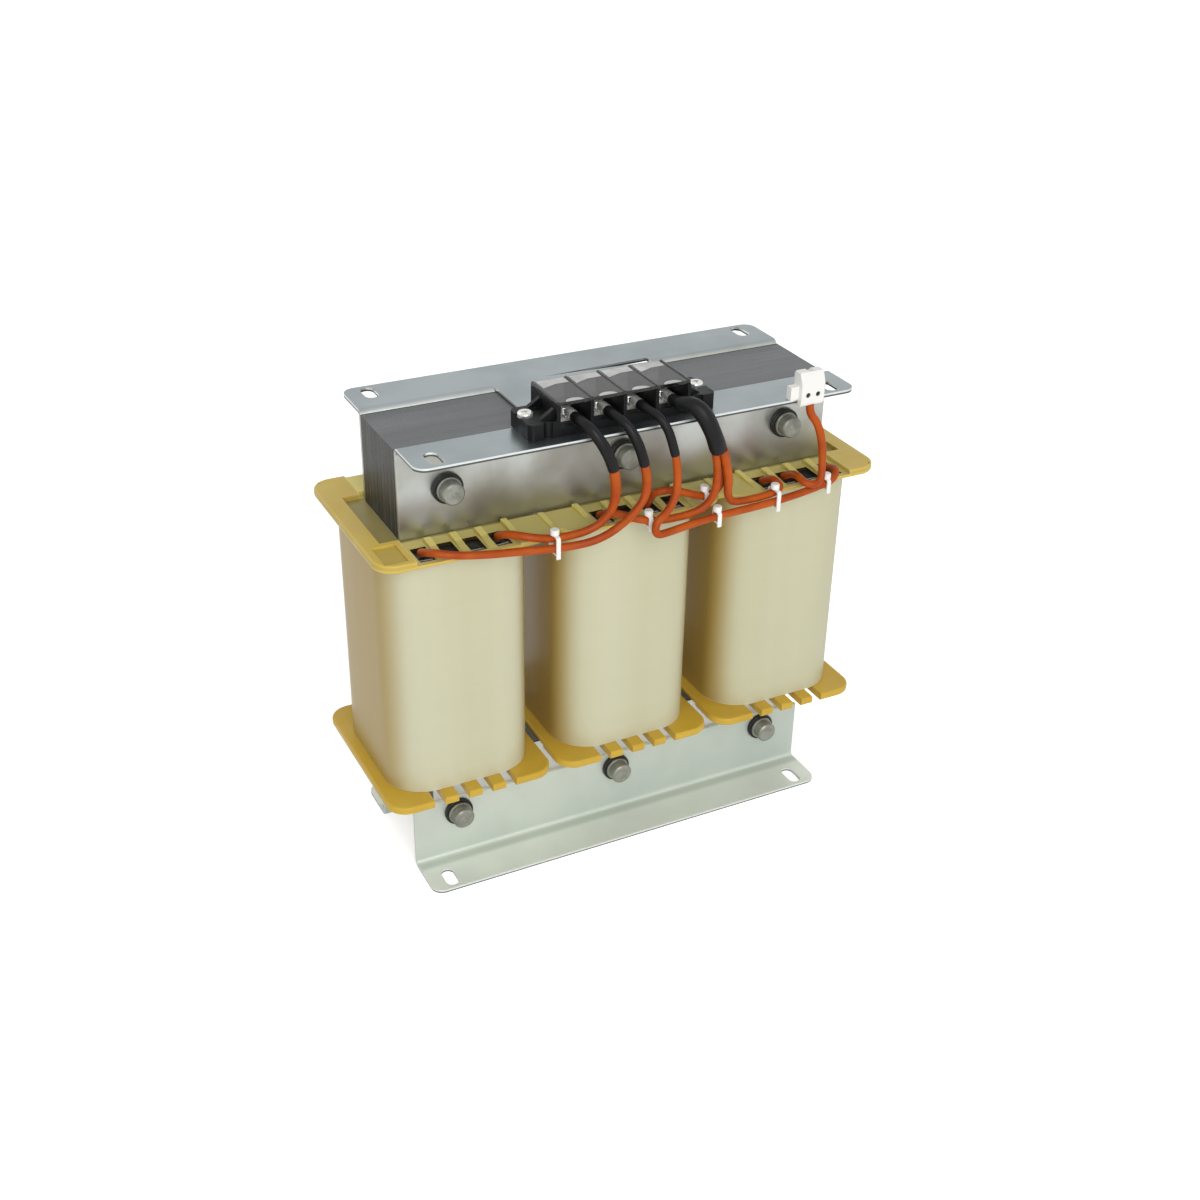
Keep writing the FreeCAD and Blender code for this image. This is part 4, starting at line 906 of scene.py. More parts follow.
@dataclass
class LaminatedYoke(DrawnPiece):
    """A yoke made of its separate punched sheets, which lie not quite flush."""

    bolt_z: float
    bolt_x: tuple[float, ...] = (-95.0 * MM, 0.0, 95.0 * MM)
    bore: float = 3.3 * MM
    sheet: float = 0.5 * MM
    seam: float = 0.03 * MM
    scatter: float = 0.08 * MM
    packet_chance: float = 0.16
    packet_share: float = 0.6
    sheet_share: float = 0.35
    bore_sides: int = 16
    seed: int = 11
    finish = CORE_EDGES
    slot = "core_steel"

    def outline(self, low: Vector, high: Vector) -> list[list[Vector]]:
        """Gives one sheet's outline and its bores.

        Args:
            low: The yoke's lowest corner.
            high: The yoke's highest corner.

        Returns:
            The outer loop and then one loop for each bore, in the XZ plane.
        """
        outer = [Vector((x, 0, z)) for x, z in ((low.x, low.z), (high.x, low.z), (high.x, high.z), (low.x, high.z))]
        return [outer] + [[Vector((x + self.bore * math.cos(-turn), 0, self.bolt_z + self.bore * math.sin(-turn)))
                           for turn in circle(self.bore_sides)] for x in self.bolt_x]

    def build(self, shape: Shape) -> None:
        """Stacks the sheets along Y.

        Args:
            shape: The mesh being built.
        """
        rng = random.Random(self.seed)
        low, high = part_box(self.node)
        count = round((high.y - low.y) / self.sheet)
        pitch = (high.y - low.y) / count
        loops = self.outline(low, high)
        faces = tessellate_polygon([[Vector((p.x, p.z, 0)) for p in loop] for loop in loops])
        packet = Vector((0, 0, 0))
        for index in range(count):
            if rng.random() < self.packet_chance:
                packet = Vector((rng.uniform(-1, 1), 0, rng.uniform(-0.6, 0))) * self.scatter * self.packet_share
            own = Vector((rng.uniform(-1, 1), 0, rng.uniform(-0.5, 0))) * self.scatter * self.sheet_share
            shift = packet + own
            shift.x = max(-self.scatter, min(self.scatter, shift.x))
            sides = [[[shape.verts.new(self.keep_in(Vector((p.x, y, p.z)) + shift, low, high)) for p in loop]
                      for loop in loops] for y in (low.y + index * pitch, low.y + (index + 1) * pitch - self.seam)]
            near, far = (sum(side, []) for side in sides)
            for a, b, c in faces:
                shape.faces.new((near[a], near[b], near[c]))
                shape.faces.new((far[c], far[b], far[a]))
            for rings in zip(*sides):
                join_rings(shape, rings, Ends.OPEN)

    def keep_in(self, point: Vector, low: Vector, high: Vector) -> Vector:
        """Holds a point inside the yoke's own box."""
        return Vector((min(max(point.x, low.x), high.x), point.y, min(max(point.z, low.z), high.z)))


@dataclass
class CoilWrap(DrawnPiece):
    """The cream film round one coil, a few turns whose rims step from layer to layer."""

    corner: float = 22.0 * MM
    wall: float = 0.7 * MM
    layers: int = 3
    layer: float = 0.2 * MM
    rim_rise: float = 0.1 * MM
    layer_rise: float = 0.12 * MM
    wall_rise: float = 0.4 * MM
    rows: int = 26
    swell: float = 0.25 * MM
    corner_steps: int = 12
    seed: int = 3
    finish = WRAP_CREAM
    slot = "cream_wrap"
    smooth_angle = 60.0

    def outline(self, width: float, depth: float, corner: float) -> list[Pair]:
        """Gives a rounded rectangle round the origin.

        Args:
            width: Its size along X.
            depth: Its size along Y.
            corner: Its corner radius.

        Returns:
            Its points, anticlockwise, from the middle of its rear side.
        """
        points = [(0.0, depth / 2)]
        for quarter, (side_x, side_y) in enumerate(((-1, 1), (-1, -1), (1, -1), (1, 1))):
            for step in range(self.corner_steps + 1):
                turn = math.radians(90 + 90 * quarter + 90 * step / self.corner_steps)
                points.append((side_x * (width / 2 - corner) + corner * math.cos(turn),
                               side_y * (depth / 2 - corner) + corner * math.sin(turn)))
        return points

    def pull(self, around: float, share: float, phases: Sequence[float]) -> float:
        """Gives how far the film sinks in at one place; its waves reach 1.5 at most, where it lies at its full size.

        Args:
            around: The place's angle round the coil.
            share: Its height as a share of the coil's.
            phases: Where the film's waves start.

        Returns:
            The way outwards in metres, which is never above 0.
        """
        wave = math.sin(2 * around + phases[0]) * math.sin(math.pi * share)
        wave += 0.5 * math.sin(5 * around + phases[1]) * math.sin(3 * math.pi * share + phases[2])
        return self.swell * 0.4 * (wave - 1.5)

    def build(self, shape: Shape) -> None:
        """Draws a closed wall.

        Args:
            shape: The mesh being built.
        """
        low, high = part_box(self.node)
        middle, size = (low + high) / 2, high - low
        rng = random.Random(self.seed)
        phases = [rng.uniform(0, 2 * math.pi) for _ in range(3)]
        steps = [(self.layer * step, self.rim_rise + self.layer_rise * step) for step in range(1, self.layers + 1)]
        steps.append((self.wall, self.wall_rise))
        profile = [(inset, low.z + rise) for inset, rise in reversed(steps)]
        profile += [(0.0, low.z + size.z * row / self.rows) for row in range(self.rows + 1)]
        profile += [(inset, high.z - rise) for inset, rise in steps]
        loops = []
        for inset, z in profile:
            share = (z - low.z) / size.z
            outline = self.outline(size.x - 2 * inset, size.y - 2 * inset, self.corner - inset)
            loop = []
            for (x, y), around in zip(outline, circle(len(outline))):
                out = Vector((x, y, 0)).normalized() * (self.pull(around, share, phases) if inset < self.wall else 0.0)
                loop.append((middle.x + x + out.x, middle.y + y + out.y, z))
            loops.append(loop)
        add_skin(shape, loops, Ends.JOINED)


@dataclass
class FilmLap(DrawnPiece):
    """The free end of a coil's film, stuck down on the rear face."""

    coil: str
    reach: float = 9.0 * MM
    thin: float = 0.3 * MM
    margin: float = 1.5 * MM
    finish = WRAP_CREAM
    slot = "cream_wrap"

    def build(self, shape: Shape) -> None:
        """Draws a thin strip with an eased free edge.

        Args:
            shape: The mesh being built.
        """
        low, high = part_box(self.coil)
        middle = (low.x + high.x) / 2
        profile = [(-self.reach, 0.4), (-self.reach, 0.05), (self.reach - self.thin, 0.0), (self.reach, 0.12),
                   (self.reach, 0.4)]
        add_skin(shape, [[(middle + x, high.y - y * MM, z) for x, y in profile]
                         for z in (low.z + self.margin, high.z - self.margin)])


@dataclass
class HeldLead:
    """An insulated lead that is held at both ends, on its own smooth route."""

    name: str
    route: list[Point]
    riser: float = 1.0
    diameter: float = 4.0 * MM
    run_level: float = 214.0 * MM

    def curve(self, radius: float) -> bpy.types.Curve:
        """Makes the route's smooth curve.

        Args:
            radius: The radius that it is drawn with; 0 gives the bare line.

        Returns:
            The curve.
        """
        data = set_up(bpy.data.curves.new(self.name + "_line", "CURVE"), dimensions="3D", resolution_u=12,
                      bevel_depth=radius, bevel_resolution=6, use_fill_caps=True)
        spline = data.splines.new("NURBS")
        spline.points.add(len(self.route) - 1)
        for point, place in zip(spline.points, self.route):
            point.co = (*place, 1.0)
            point.radius = self.riser if place[2] > self.run_level else 1.0
        spline.order_u = 3
        spline.use_endpoint_u = True
        return data

    def middle_line(self) -> list[Vector]:
        """Reads the points of the smooth line.

        Returns:
            The points in order, from the terminal end.
        """
        data = self.curve(0.0)
        bare = put(self.name + "_line", data)
        mesh = evaluated_mesh(bare)
        points = [vertex.co.copy() for vertex in mesh.vertices]
        bpy.data.objects.remove(bare)
        bpy.data.curves.remove(data)
        bpy.data.meshes.remove(mesh)
        return points

    def dress(self) -> None:
        """Makes the lead, which stands for its plain solid."""
        add_piece(self.name + "_insulation", self.curve(self.diameter / 2), LEAD_ORANGE, [self.name])


def line_length(line: Sequence[Vector]) -> float:
    """Gives a line's length."""
    return sum((after - before).length for before, after in zip(line, line[1:]))


def point_at(line: Sequence[Vector], distance: float) -> Vector:
    """Gives a line's point at a distance from its start.

    Args:
        line: The line's points.
        distance: The distance in metres.

    Returns:
        The point, or the line's end where the line is shorter.
    """
    for before, after in zip(line, line[1:]):
        run = (after - before).length
        if run > distance:
            return before.lerp(after, distance / run)
        distance -= run
    return line[-1]


def resample(line: Sequence[Vector], step: float) -> list[Vector]:
    """Spaces a line's points evenly.

    Args:
        line: The line's points.
        step: The wanted distance between points.

    Returns:
        The evenly spaced points.
    """
    total = line_length(line)
    count = max(2, round(total / step))
    return [point_at(line, total * index / count) for index in range(count + 1)]


def upper_part(line: Sequence[Vector], bottom: float) -> list[Vector]:
    """Gives the start of a line, down to a height.

    Args:
        line: The line's points, from its upper end.
        bottom: The height in metres where it is cut.

    Returns:
        The points above that height.
    """
    count = next(index for index, point in enumerate(line) if point.z < bottom)
    before, after = line[count - 1], line[count]
    share = (before.z - bottom) / (before.z - after.z)
    return [*line[:count], before.lerp(after, share)]


@dataclass
class Sleeve(DrawnPiece):
    """A shrunk tube from a lug's barrel on: a neck, a flare and a drawn-in rim."""

    line: Sequence[Vector]
    wide: float
    neck: float = 2.7 * MM
    flare: float = 9.0 * MM
    rim: float = 0.8 * MM
    rim_pinch: float = 0.04
    ripple: float = 0.025 * MM
    waves: tuple[float, ...] = (2.3 * MM, 5.1 * MM)
    step: float = 0.8 * MM
    sides: int = 24
    finish = SLEEVE_BLACK
    slot = "shrink_sleeve"

    def radius(self, distance: float, left: float) -> float:
        """Gives the tube's radius at one place.

        Args:
            distance: How far the place is from the start.
            left: How far it is from the end.

        Returns:
            The radius in metres.
        """
        flared = (1 - math.cos(min(1.0, distance / self.flare) * math.pi)) / 2
        wave = math.prod(math.sin(distance / length) for length in self.waves)
        drawn = 1 - self.rim_pinch + self.rim_pinch * min(1.0, left / self.rim)
        return (self.neck + (self.wide - self.neck) * flared) * drawn + self.ripple * (wave - 1)

    def build(self, shape: Shape) -> None:
        """Carries a ring along the line without letting it twist.

        Args:
            shape: The mesh being built.
        """
        line = resample(self.line, self.step)
        total = line_length(line)
        loops = []
        travelled = 0.0
        across = (line[1] - line[0]).normalized().orthogonal().normalized()
        for before, point, after in zip([line[0], *line], line, [*line[1:], line[-1]]):
            travelled += (point - before).length
            along = (after - before).normalized()
            across = (across - along * across.dot(along)).normalized()
            other = along.cross(across)
            size = self.radius(travelled, total - travelled)
            loops.append([point + (across * math.cos(turn) + other * math.sin(turn)) * size
                          for turn in circle(self.sides)])
        add_skin(shape, loops)


HALF_FORMER = 52.4
FLANGE_TOP = 247.0
YOKE_SEAT = 198.0
LEG_X = (-95.0, 0.0, 95.0)
SLOT_STEPS = (-19.8, -6.6, 6.6, 19.8)
LUG_Y, LUG_Z = -43.8, 255.4
LUG_RUN = 6.0
SLOT_END = (-12.8, -0.1)
POLE_X = (-36.4, -18.8, -1.2, 16.4)
PLUG_X = 90.7
STAR_Y = -50.0
STAR_RADIUS = 2.4
STAR_STRAIGHT = 5.0


def in_front(level: float, points: Sequence[Point]) -> list[Point]:
    """Gives route points in metres from x, the way in front of the formers' edge and the height over a level."""
    return [(x * MM, (-HALF_FORMER - front) * MM, (level + above) * MM) for x, front, above in points]


def by_flange(*points: Point) -> list[Point]:
    """Gives route points whose heights are taken from the top flanges."""
    return in_front(FLANGE_TOP, points)


def by_former(*points: Point) -> list[Point]:
    """Gives route points whose heights are taken from the yoke's seat."""
    return in_front(YOKE_SEAT, points)


def from_lug(pole: int) -> list[Point]:
    """Gives the first two points of a lead, square out of its lug."""
    return [(POLE_X[pole] * MM, y * MM, LUG_Z * MM) for y in (LUG_Y, LUG_Y - LUG_RUN)]


def into_slot(leg: int, slot: int, front: float, above: float) -> list[Point]:
    """Gives the last two points of a lead, which turns down into one of a former's lead slots."""
    x = LEG_X[leg] + SLOT_STEPS[slot]
    return by_former((x, front, above), (x, *SLOT_END))


LEAD_1 = from_lug(0) + by_flange(
    (-34.0, 5.0, 6.4), (-29.8, 8.6, -0.4), (-25.0, 8.8, -10.4), (-22.6, 8.2, -18.4)) + by_former(
    (-21.4, 7.4, 20.0), (-23.4, 7.0, 12.0), (-29.0, 6.6, 6.0), (-36.4, 5.6, 2.8), (-45.0, 4.8, 1.8),
    (-54.6, 4.4, 2.0), (-65.4, 3.2, 4.6)) + into_slot(0, 3, -5.2, 5.2)
LEAD_2 = from_lug(1) + by_flange(
    (-14.6, 5.0, 5.0), (-11.0, 8.6, -3.2), (-8.2, 8.8, -11.0), (-6.0, 8.4, -19.0)) + by_former(
    (-4.8, 8.2, 22.0), (-6.6, 8.6, 15.4), (-11.8, 9.8, 10.4), (-18.6, 11.2, 6.4), (-26.0, 11.6, 2.6),
    (-34.0, 10.4, -0.6), (-43.0, 8.6, -2.0), (-56.0, 7.2, -1.8), (-72.0, 5.6, -0.4), (-88.0, 4.6, 1.0),
    (-104.0, 2.4, 3.0)) + into_slot(0, 0, -3.2, 4.6)
LEAD_3 = from_lug(2) + by_flange(
    (2.4, 5.0, 6.6), (5.4, 8.6, 0.6), (8.4, 8.8, -8.6), (10.8, 8.6, -16.8)) + by_former(
    (11.8, 8.8, 20.0), (9.8, 9.8, 12.4), (5.0, 11.4, 7.0), (-2.4, 13.2, 3.6), (-2.2, 13.4, -3.4),
    (6.0, 12.4, -3.6), (20.0, 10.2, -3.0), (34.0, 8.6, -2.8), (50.0, 7.4, -3.0), (64.0, 7.0, -2.8),
    (77.0, 6.2, -2.4), (88.0, 4.6, -2.2), (99.0, 3.6, -1.2), (109.0, 3.4, 0.8)) + into_slot(2, 3, -3.0, 4.4)
STAR_SLEEVE = [(POLE_X[3] * MM, STAR_Y * MM, LUG_Z * MM)] + by_flange(
    (20.4, 3.2, 9.6), (25.0, 8.0, 5.4), (28.8, 9.8, -2.8), (32.2, 9.2, -10.4), (34.3, 8.1, -15.2))


def from_star(angle: float) -> list[Point]:
    """Starts a star lead square out of the wide sleeve's end.

    Args:
        angle: Where the lead lies in the sleeve, in degrees round its axis.

    Returns:
        The route's first two points in metres.
    """
    end = Vector(STAR_SLEEVE[-1])
    along = (end - Vector(STAR_SLEEVE[-2])).normalized()
    side = Vector((1, 0, 0)).cross(along).normalized()
    across = along.cross(side).normalized()
    turn = math.radians(angle)
    start = end + (across * math.cos(turn) + side * math.sin(turn)) * STAR_RADIUS * MM
    return [tuple(start), tuple(start + along * STAR_STRAIGHT * MM)]


STAR_LEAD_1 = from_star(200) + by_former(
    (34.6, 8.2, 17.6), (33.6, 8.0, 9.6), (29.6, 7.0, 3.2), (22.0, 6.2, 0.4), (12.0, 5.8, -0.2), (2.0, 5.4, 0.2),
    (-6.6, 4.2, 2.2), (-13.6, 1.2, 4.8)) + into_slot(1, 0, -4.4, 5.2)
STAR_LEAD_2 = from_star(80) + by_former(
    (40.6, 3.6, 16.0), (39.8, 2.0, 9.4), (35.4, 1.0, 5.6), (28.6, 0.6, 6.4), (21.6, 0.0, 9.4), (14.4, -1.2, 11.8),
    (8.2, -3.0, 11.6)) + into_slot(1, 2, -7.8, 8.0)
STAR_LEAD_3 = from_star(320) + by_former(
    (41.6, 7.9, 16.4), (41.8, 6.8, 8.2), (45.4, 4.6, 1.6), (53.0, 3.6, -0.2), (66.0, 3.4, -0.2),
    (77.6, 3.4, 2.0)) + into_slot(2, 0, -4.2, 5.8)
SENSOR_LEAD = by_flange((PLUG_X, 2.0, -3.4), (PLUG_X, 2.0, -8.0), (95.6, 3.6, -14.0)) + by_former(
    (98.4, 5.0, 24.0), (98.8, 6.2, 12.0), (98.0, 7.4, 2.6), (88.4, 7.2, 3.6)) + into_slot(2, 1, -3.4, 6.6)


@dataclass
class Harness:
    """The leads with their sleeves and ties."""

    sleeve_bottoms: tuple[float, ...] = (232.2 * MM, 231.6 * MM, 233.8 * MM)
    sleeve_wall: float = 0.28 * MM
    star_behind: float = 6.2 * MM
    routes: dict[str, tuple[list[Point], float]] = field(default_factory=lambda: {
        "lead_1": (LEAD_1, 1.3), "lead_2": (LEAD_2, 1.18), "lead_3": (LEAD_3, 1.02),
        "star_lead_1": (STAR_LEAD_1, 1.0), "star_lead_2": (STAR_LEAD_2, 1.15),
        "star_lead_3": (STAR_LEAD_3, 1.2), "sensor_lead": (SENSOR_LEAD, 1.06)})

    def dress(self) -> None:
        """Makes every lead and sleeve, and dresses the ties."""
        leads = {name: HeldLead(name, route, riser) for name, (route, riser) in self.routes.items()}
        for lead in leads.values():
            lead.dress()
        for number, bottom in enumerate(self.sleeve_bottoms, 1):
            lead = leads[f"lead_{number}"]
            wide = lead.riser * lead.diameter / 2 + self.sleeve_wall
            Sleeve(f"sleeve_{number}_tube", upper_part(lead.middle_line(), bottom), wide,
                   node=f"sleeve_{number}").dress()
        star = HeldLead("star_sleeve", STAR_SLEEVE).middle_line()
        star.insert(0, star[0] + Vector((0, self.star_behind, 0)))
        Sleeve("star_sleeve_tube", star, 4.45 * MM, neck=2.75 * MM, flare=17.0 * MM, rim=2.0 * MM, rim_pinch=0.05,
               ripple=0.08 * MM, waves=(2.9 * MM,), sides=32, node="star_sleeve").dress()
        dress_node("cable_ties", NYLON_WHITE, 0.2)
        dress_node("sensor_plug", NYLON_WHITE, 0.3, 3)
        PlugHoleShade("plug_hole_shade_discs").dress()


@dataclass
class Core:
    """The iron core: yokes of punched sheets, leg packets and gap spacers."""

    upper_bolts: float = 222.0 * MM
    lower_bolts: float = 30.0 * MM

    def dress(self) -> None:
        """Makes the yokes' sheets and dresses the legs."""
        for node, bolts, seed in (("core_upper_yoke", self.upper_bolts, 11), ("core_lower_yoke", self.lower_bolts, 23)):
            LaminatedYoke(node + "_sheets", bolts, seed=seed, node=node).dress()
        for name in ("left", "middle", "right"):
            dress_node("core_leg_" + name, CORE_EDGES)
        dress_node("air_gap_spacers", SPACER_BOARD)


def on_side(side: int, *points: Pair) -> list[Pair]:
    """Gives a section that lies in front of the middle or behind it."""
    return [(side * y, z) for y, z in points]


def box_on_side(side: int, y0: float, y1: float, z0: float, z1: float) -> list[Pair]:
    """Gives a rectangle in front of the middle or behind it."""
    return on_side(side, (y0, z0), (y1, z0), (y1, z1), (y0, z1))


@dataclass
class OpenedFormer:
    """A coil former with wide lead slots, and joints without a rim between formers; sizes in millimetres."""

    name: str
    leg: float
    joints: tuple[float, ...]
    ease: float = 0.25
    slot_half: float = 4.0
    slot_reach: Pair = (34.4, 49.4)
    slot_levels: Pair = (195.0, 198.9)
    notch_half: float = 3.0
    notch_reach: Pair = (30.5, 54.0)
    notch_levels: Pair = (55.0, 62.5)
    tray_half: float = 18.0
    tray_reach: Pair = (27.3, 54.0)
    rim_half: float = 21.2
    rim_slope: tuple[Pair, ...] = ((32.0, 200.5), (49.4, 198.8), (54.0, 198.8), (54.0, 202.0), (32.0, 202.0))
    tray_levels: Pair = (198.9, 202.0)
    fill_half: float = 2.2
    fill_reach: Pair = (31.9, 34.4)
    fill_levels: Pair = (196.2, 198.0)

    def cuts(self) -> list[list[Prism]]:
        """Lists what is cut out: the slots for the leads, what lies over the trays, and slopes over the rims.

        Returns:
            The prisms of each cut.
        """
        slots, trays, rims = [], [], []
        for side in (-1, 1):
            upper = box_on_side(side, *self.slot_reach, *self.slot_levels)
            lower = box_on_side(side, *self.notch_reach, *self.notch_levels)
            for step in SLOT_STEPS:
                slots += [(upper, self.leg + step, self.slot_half), (lower, self.leg + step, self.notch_half)]
        for joint in self.joints:
            for side in (-1, 1):
                trays.append((box_on_side(side, *self.tray_reach, *self.tray_levels), joint, self.tray_half))
                rims.append((on_side(side, *self.rim_slope), joint, self.rim_half))
        return [slots, trays, rims]

    def slot_floors(self) -> list[Prism]:
        """Lists the pieces of floor at the inner ends of the slots."""
        return [(box_on_side(side, *self.fill_reach, *self.fill_levels), self.leg + step, self.fill_half)
                for side in (-1, 1) for step in SLOT_STEPS]

    def opened(self, plain: bpy.types.Object) -> bpy.types.Mesh:
        """Cuts the former open.

        Args:
            plain: The CAD former, which stays as it is.

        Returns:
            The mesh of the opened former.
        """
        shape = bmesh.new()
        shape.from_mesh(plain.data)
        shape.transform(plain.matrix_world)
        bmesh.ops.remove_doubles(shape, verts=shape.verts, dist=WELD)
        mesh = bpy.data.meshes.new("former_" + self.name)
        shape.to_mesh(mesh)
        shape.free()
        body = put("former_body", mesh)
        tools = [put("former_tool", prism_mesh("former_tool", prisms)) for prisms in self.cuts()]
        for tool in tools:
            set_up(body.modifiers.new("cut", "BOOLEAN"), operation="DIFFERENCE", solver="EXACT", object=tool)
        made = evaluated_mesh(body)
        for spent in (body, *tools):
            bpy.data.objects.remove(spent)
        made.materials.clear()
        return made

    def dress(self) -> None:
        """Makes the opened former, which stands for the plain one."""
        node, floors = "coil_former_" + self.name, "slot_floor_" + self.name
        piece = add_piece("former_" + self.name, self.opened(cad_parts[node]), FORMER_YELLOW,
                          [node])
        ease_edges(piece, self.ease * MM)
        add_piece(floors, prism_mesh(floors, self.slot_floors()), FORMER_YELLOW)


@dataclass
class FormerJoint:
    """The ridge where two formers' upper flanges meet, which closes the gap between them; in millimetres."""

    name: str
    x: float
    side: int
    ease: float = 0.3
    gap_half: float = 2.3
    ridge_half: float = 1.5
    strip: Sequence[Pair] = ((27.6, 195.9), (45.4, 195.9), (45.4, 198.9), (27.6, 198.9))
    ridge: Sequence[Pair] = ((28.6, 198.0), (44.8, 198.0), (44.8, 199.2), (43.8, 199.5), (30.2, 200.2), (28.6, 200.2))

    def dress(self) -> None:
        """Makes the strip in the gap and the ridge on it."""
        prisms = [(on_side(self.side, *self.strip), self.x, self.gap_half),
                  (on_side(self.side, *self.ridge), self.x, self.ridge_half)]
        piece = add_piece(self.name, prism_mesh(self.name, prisms), FORMER_YELLOW)
        ease_edges(piece, self.ease * MM)


@dataclass
class PlainEar(DrawnPiece):
    """A corner of a former's upper flange whose tray is filled, as it is at the plug's end and behind."""

    side_x: int
    side_y: int
    near_x: float
    near_y: float = 30.35 * MM
    far_x: float = 136.4 * MM
    far_y: float = 49.5 * MM
    bottom: float = 198.0 * MM
    top: float = 200.36 * MM
    corner: float = 3.0 * MM
    steps: int = 6
    finish = FORMER_YELLOW
    slot = "yellow_moulding"

    def build(self, shape: Shape) -> None:
        """Draws the fill, rounded at the flange's corner.

        Args:
            shape: The mesh being built.
        """
        outline = [(self.near_x, self.near_y), (self.far_x, self.near_y)]
        for step in range(self.steps + 1):
            turn = math.radians(90 * step / self.steps)
            outline.append((self.far_x - self.corner * (1 - math.cos(turn)),
                            self.far_y - self.corner * (1 - math.sin(turn))))
        outline.append((self.near_x, self.far_y))
        add_slab(shape, [(self.side_x * x, self.side_y * y) for x, y in outline], self.bottom, self.top)


@dataclass
class Coils:
    """The formers with their windings and wraps."""

    joints: tuple[float, ...] = (-47.5, 47.5)
    ears: tuple[tuple[str, int, int, float], ...] = (
        ("ear_front_right", 1, -1, 124.4), ("ear_rear_left", -1, 1, 110.6), ("ear_rear_right", 1, 1, 124.4))

    def dress(self) -> None:
        """Dresses the formers and windings, and makes the wraps."""
        for seed, (name, leg, joints) in enumerate(zip(
                ("left", "middle", "right"), LEG_X, (self.joints[:1], self.joints, self.joints[1:])), 3):
            OpenedFormer(name, leg, joints).dress()
            dress_node("winding_" + name, WINDING_DARK)
            wrap = "coil_wrap_" + name
            CoilWrap(wrap + "_film", seed=seed, node=wrap).dress()
            FilmLap(wrap + "_lap", wrap).dress()
        for name, side_x, side_y, near in self.ears:
            PlainEar(name, side_x, side_y, near * MM).dress()
        for place, side in (("front", -1), ("rear", 1)):
            for number, x in enumerate(self.joints, 1):
                FormerJoint(f"joint_{place}_{number}", x, side).dress()
        dress_node("thermal_switch", BLOCK_BLACK, 0.3)


def dress_nodes(*rows: tuple[Sequence[str], Finish, float, int]) -> None:
    """Dresses rows of CAD nodes that share a finish and eased edges.

    Args:
        rows: The nodes, their finish, the width of their eased edges in mm and its segments.
    """
    for nodes, *looks in rows:
        for node in nodes:
            dress_node(node, *looks)


@dataclass
class Clamps:
    """The folded sheet clamps and what bolts them up."""

    ease: float = 0.22

    def dress(self) -> None:
        """Dresses the sheets, bolts, washers and nuts."""
        dress_nodes((("upper_clamp_front", "upper_clamp_rear"), SHEET_STEEL, self.ease, 2),
                    (("lower_clamp_front", "lower_clamp_rear"), FOOT_STEEL, self.ease, 2),
                    (("clamp_bolts", "clamp_nuts"), BOLT_STEEL, 0.35, 3),
                    (("front_washers", "rear_washers"), WASHER_BLACK, 0.15, 2))


@dataclass
class CoverHighlight(DrawnPiece):
    """White patches on the clear cover that paint its reflected highlights: one along the rear and a scallop at the
    front of each pane.
    """

    pane: float = 14.8 * MM
    front: float = -44.6 * MM
    rear: float = -15.8 * MM
    top: float = 263.82 * MM
    sink: float = 0.1 * MM
    rear_depth: float = 6.4 * MM
    rear_slant: float = 3.0 * MM
    scallop_width: float = 9.4 * MM
    scallop_depth: float = 3.4 * MM
    steps: int = 12
    finish = COVER_HIGHLIGHT
    slot = "clear_cover"

    def build(self, shape: Shape) -> None:
        """Draws the thin patches of every pane.

        Args:
            shape: The mesh being built.
        """
        inner = self.rear - self.rear_depth
        turns = [math.pi * step / self.steps for step in range(self.steps + 1)]
        for x in (place * MM for place in POLE_X):
            left, right = x - self.pane / 2, x + self.pane / 2
            for outline in ([(left, self.rear), (left, inner - self.rear_slant), (x, inner), (right, inner),
                             (right, self.rear)],
                            [(x - self.scallop_width / 2 * math.cos(turn),
                              self.front + self.scallop_depth * math.sin(turn)) for turn in turns]):
                add_slab(shape, outline, self.top - self.sink, self.top)


@dataclass
class PlugHoleShade(DrawnPiece):
    """Two dark discs deep in the plug's holes, where the contacts lie, which paint the shade in the holes."""

    middle: float = PLUG_X * MM
    pitch: float = 5.8 * MM
    height: float = 249.6 * MM
    face: float = -56.0 * MM
    radius: float = 1.27 * MM
    dish: tuple[Pair, ...] = ((1.0, 0.0), (0.7, 0.25), (0.3, 0.9))
    sides: int = 20
    finish = HOLE_SHADE
    slot = "white_nylon"

    def build(self, shape: Shape) -> None:
        """Draws a dished disc in each hole.

        Args:
            shape: The mesh being built.
        """
        for x in (self.middle - self.pitch / 2, self.middle + self.pitch / 2):
            rings = add_skin(shape, [[(x + share * self.radius * math.cos(turn), self.face + sink * MM,
                                       self.height + share * self.radius * math.sin(turn))
                                      for turn in circle(self.sides)] for share, sink in self.dish], Ends.OPEN)
            shape.faces.new(rings[-1])


@dataclass
class TerminalBlock:
    """The terminal block with its cover, plates, lugs and screws."""

    fine_ease: float = 0.12

    def dress(self) -> None:
        """Dresses the block and everything screwed to it."""
        # Painted reflections on the cover panes
        CoverHighlight("terminal_cover_highlight").dress()
        dress_nodes((["terminal_block"], BLOCK_BLACK, 0.3, 2), (["terminal_cover"], COVER_CLEAR, 0.2, 2),
                    (("terminal_plates", "cable_lugs"), TIN_PLATE, self.fine_ease, 2),
                    (("terminal_screws", "block_screws", "block_nuts"), BRIGHT_PLATE, self.fine_ease, 2))


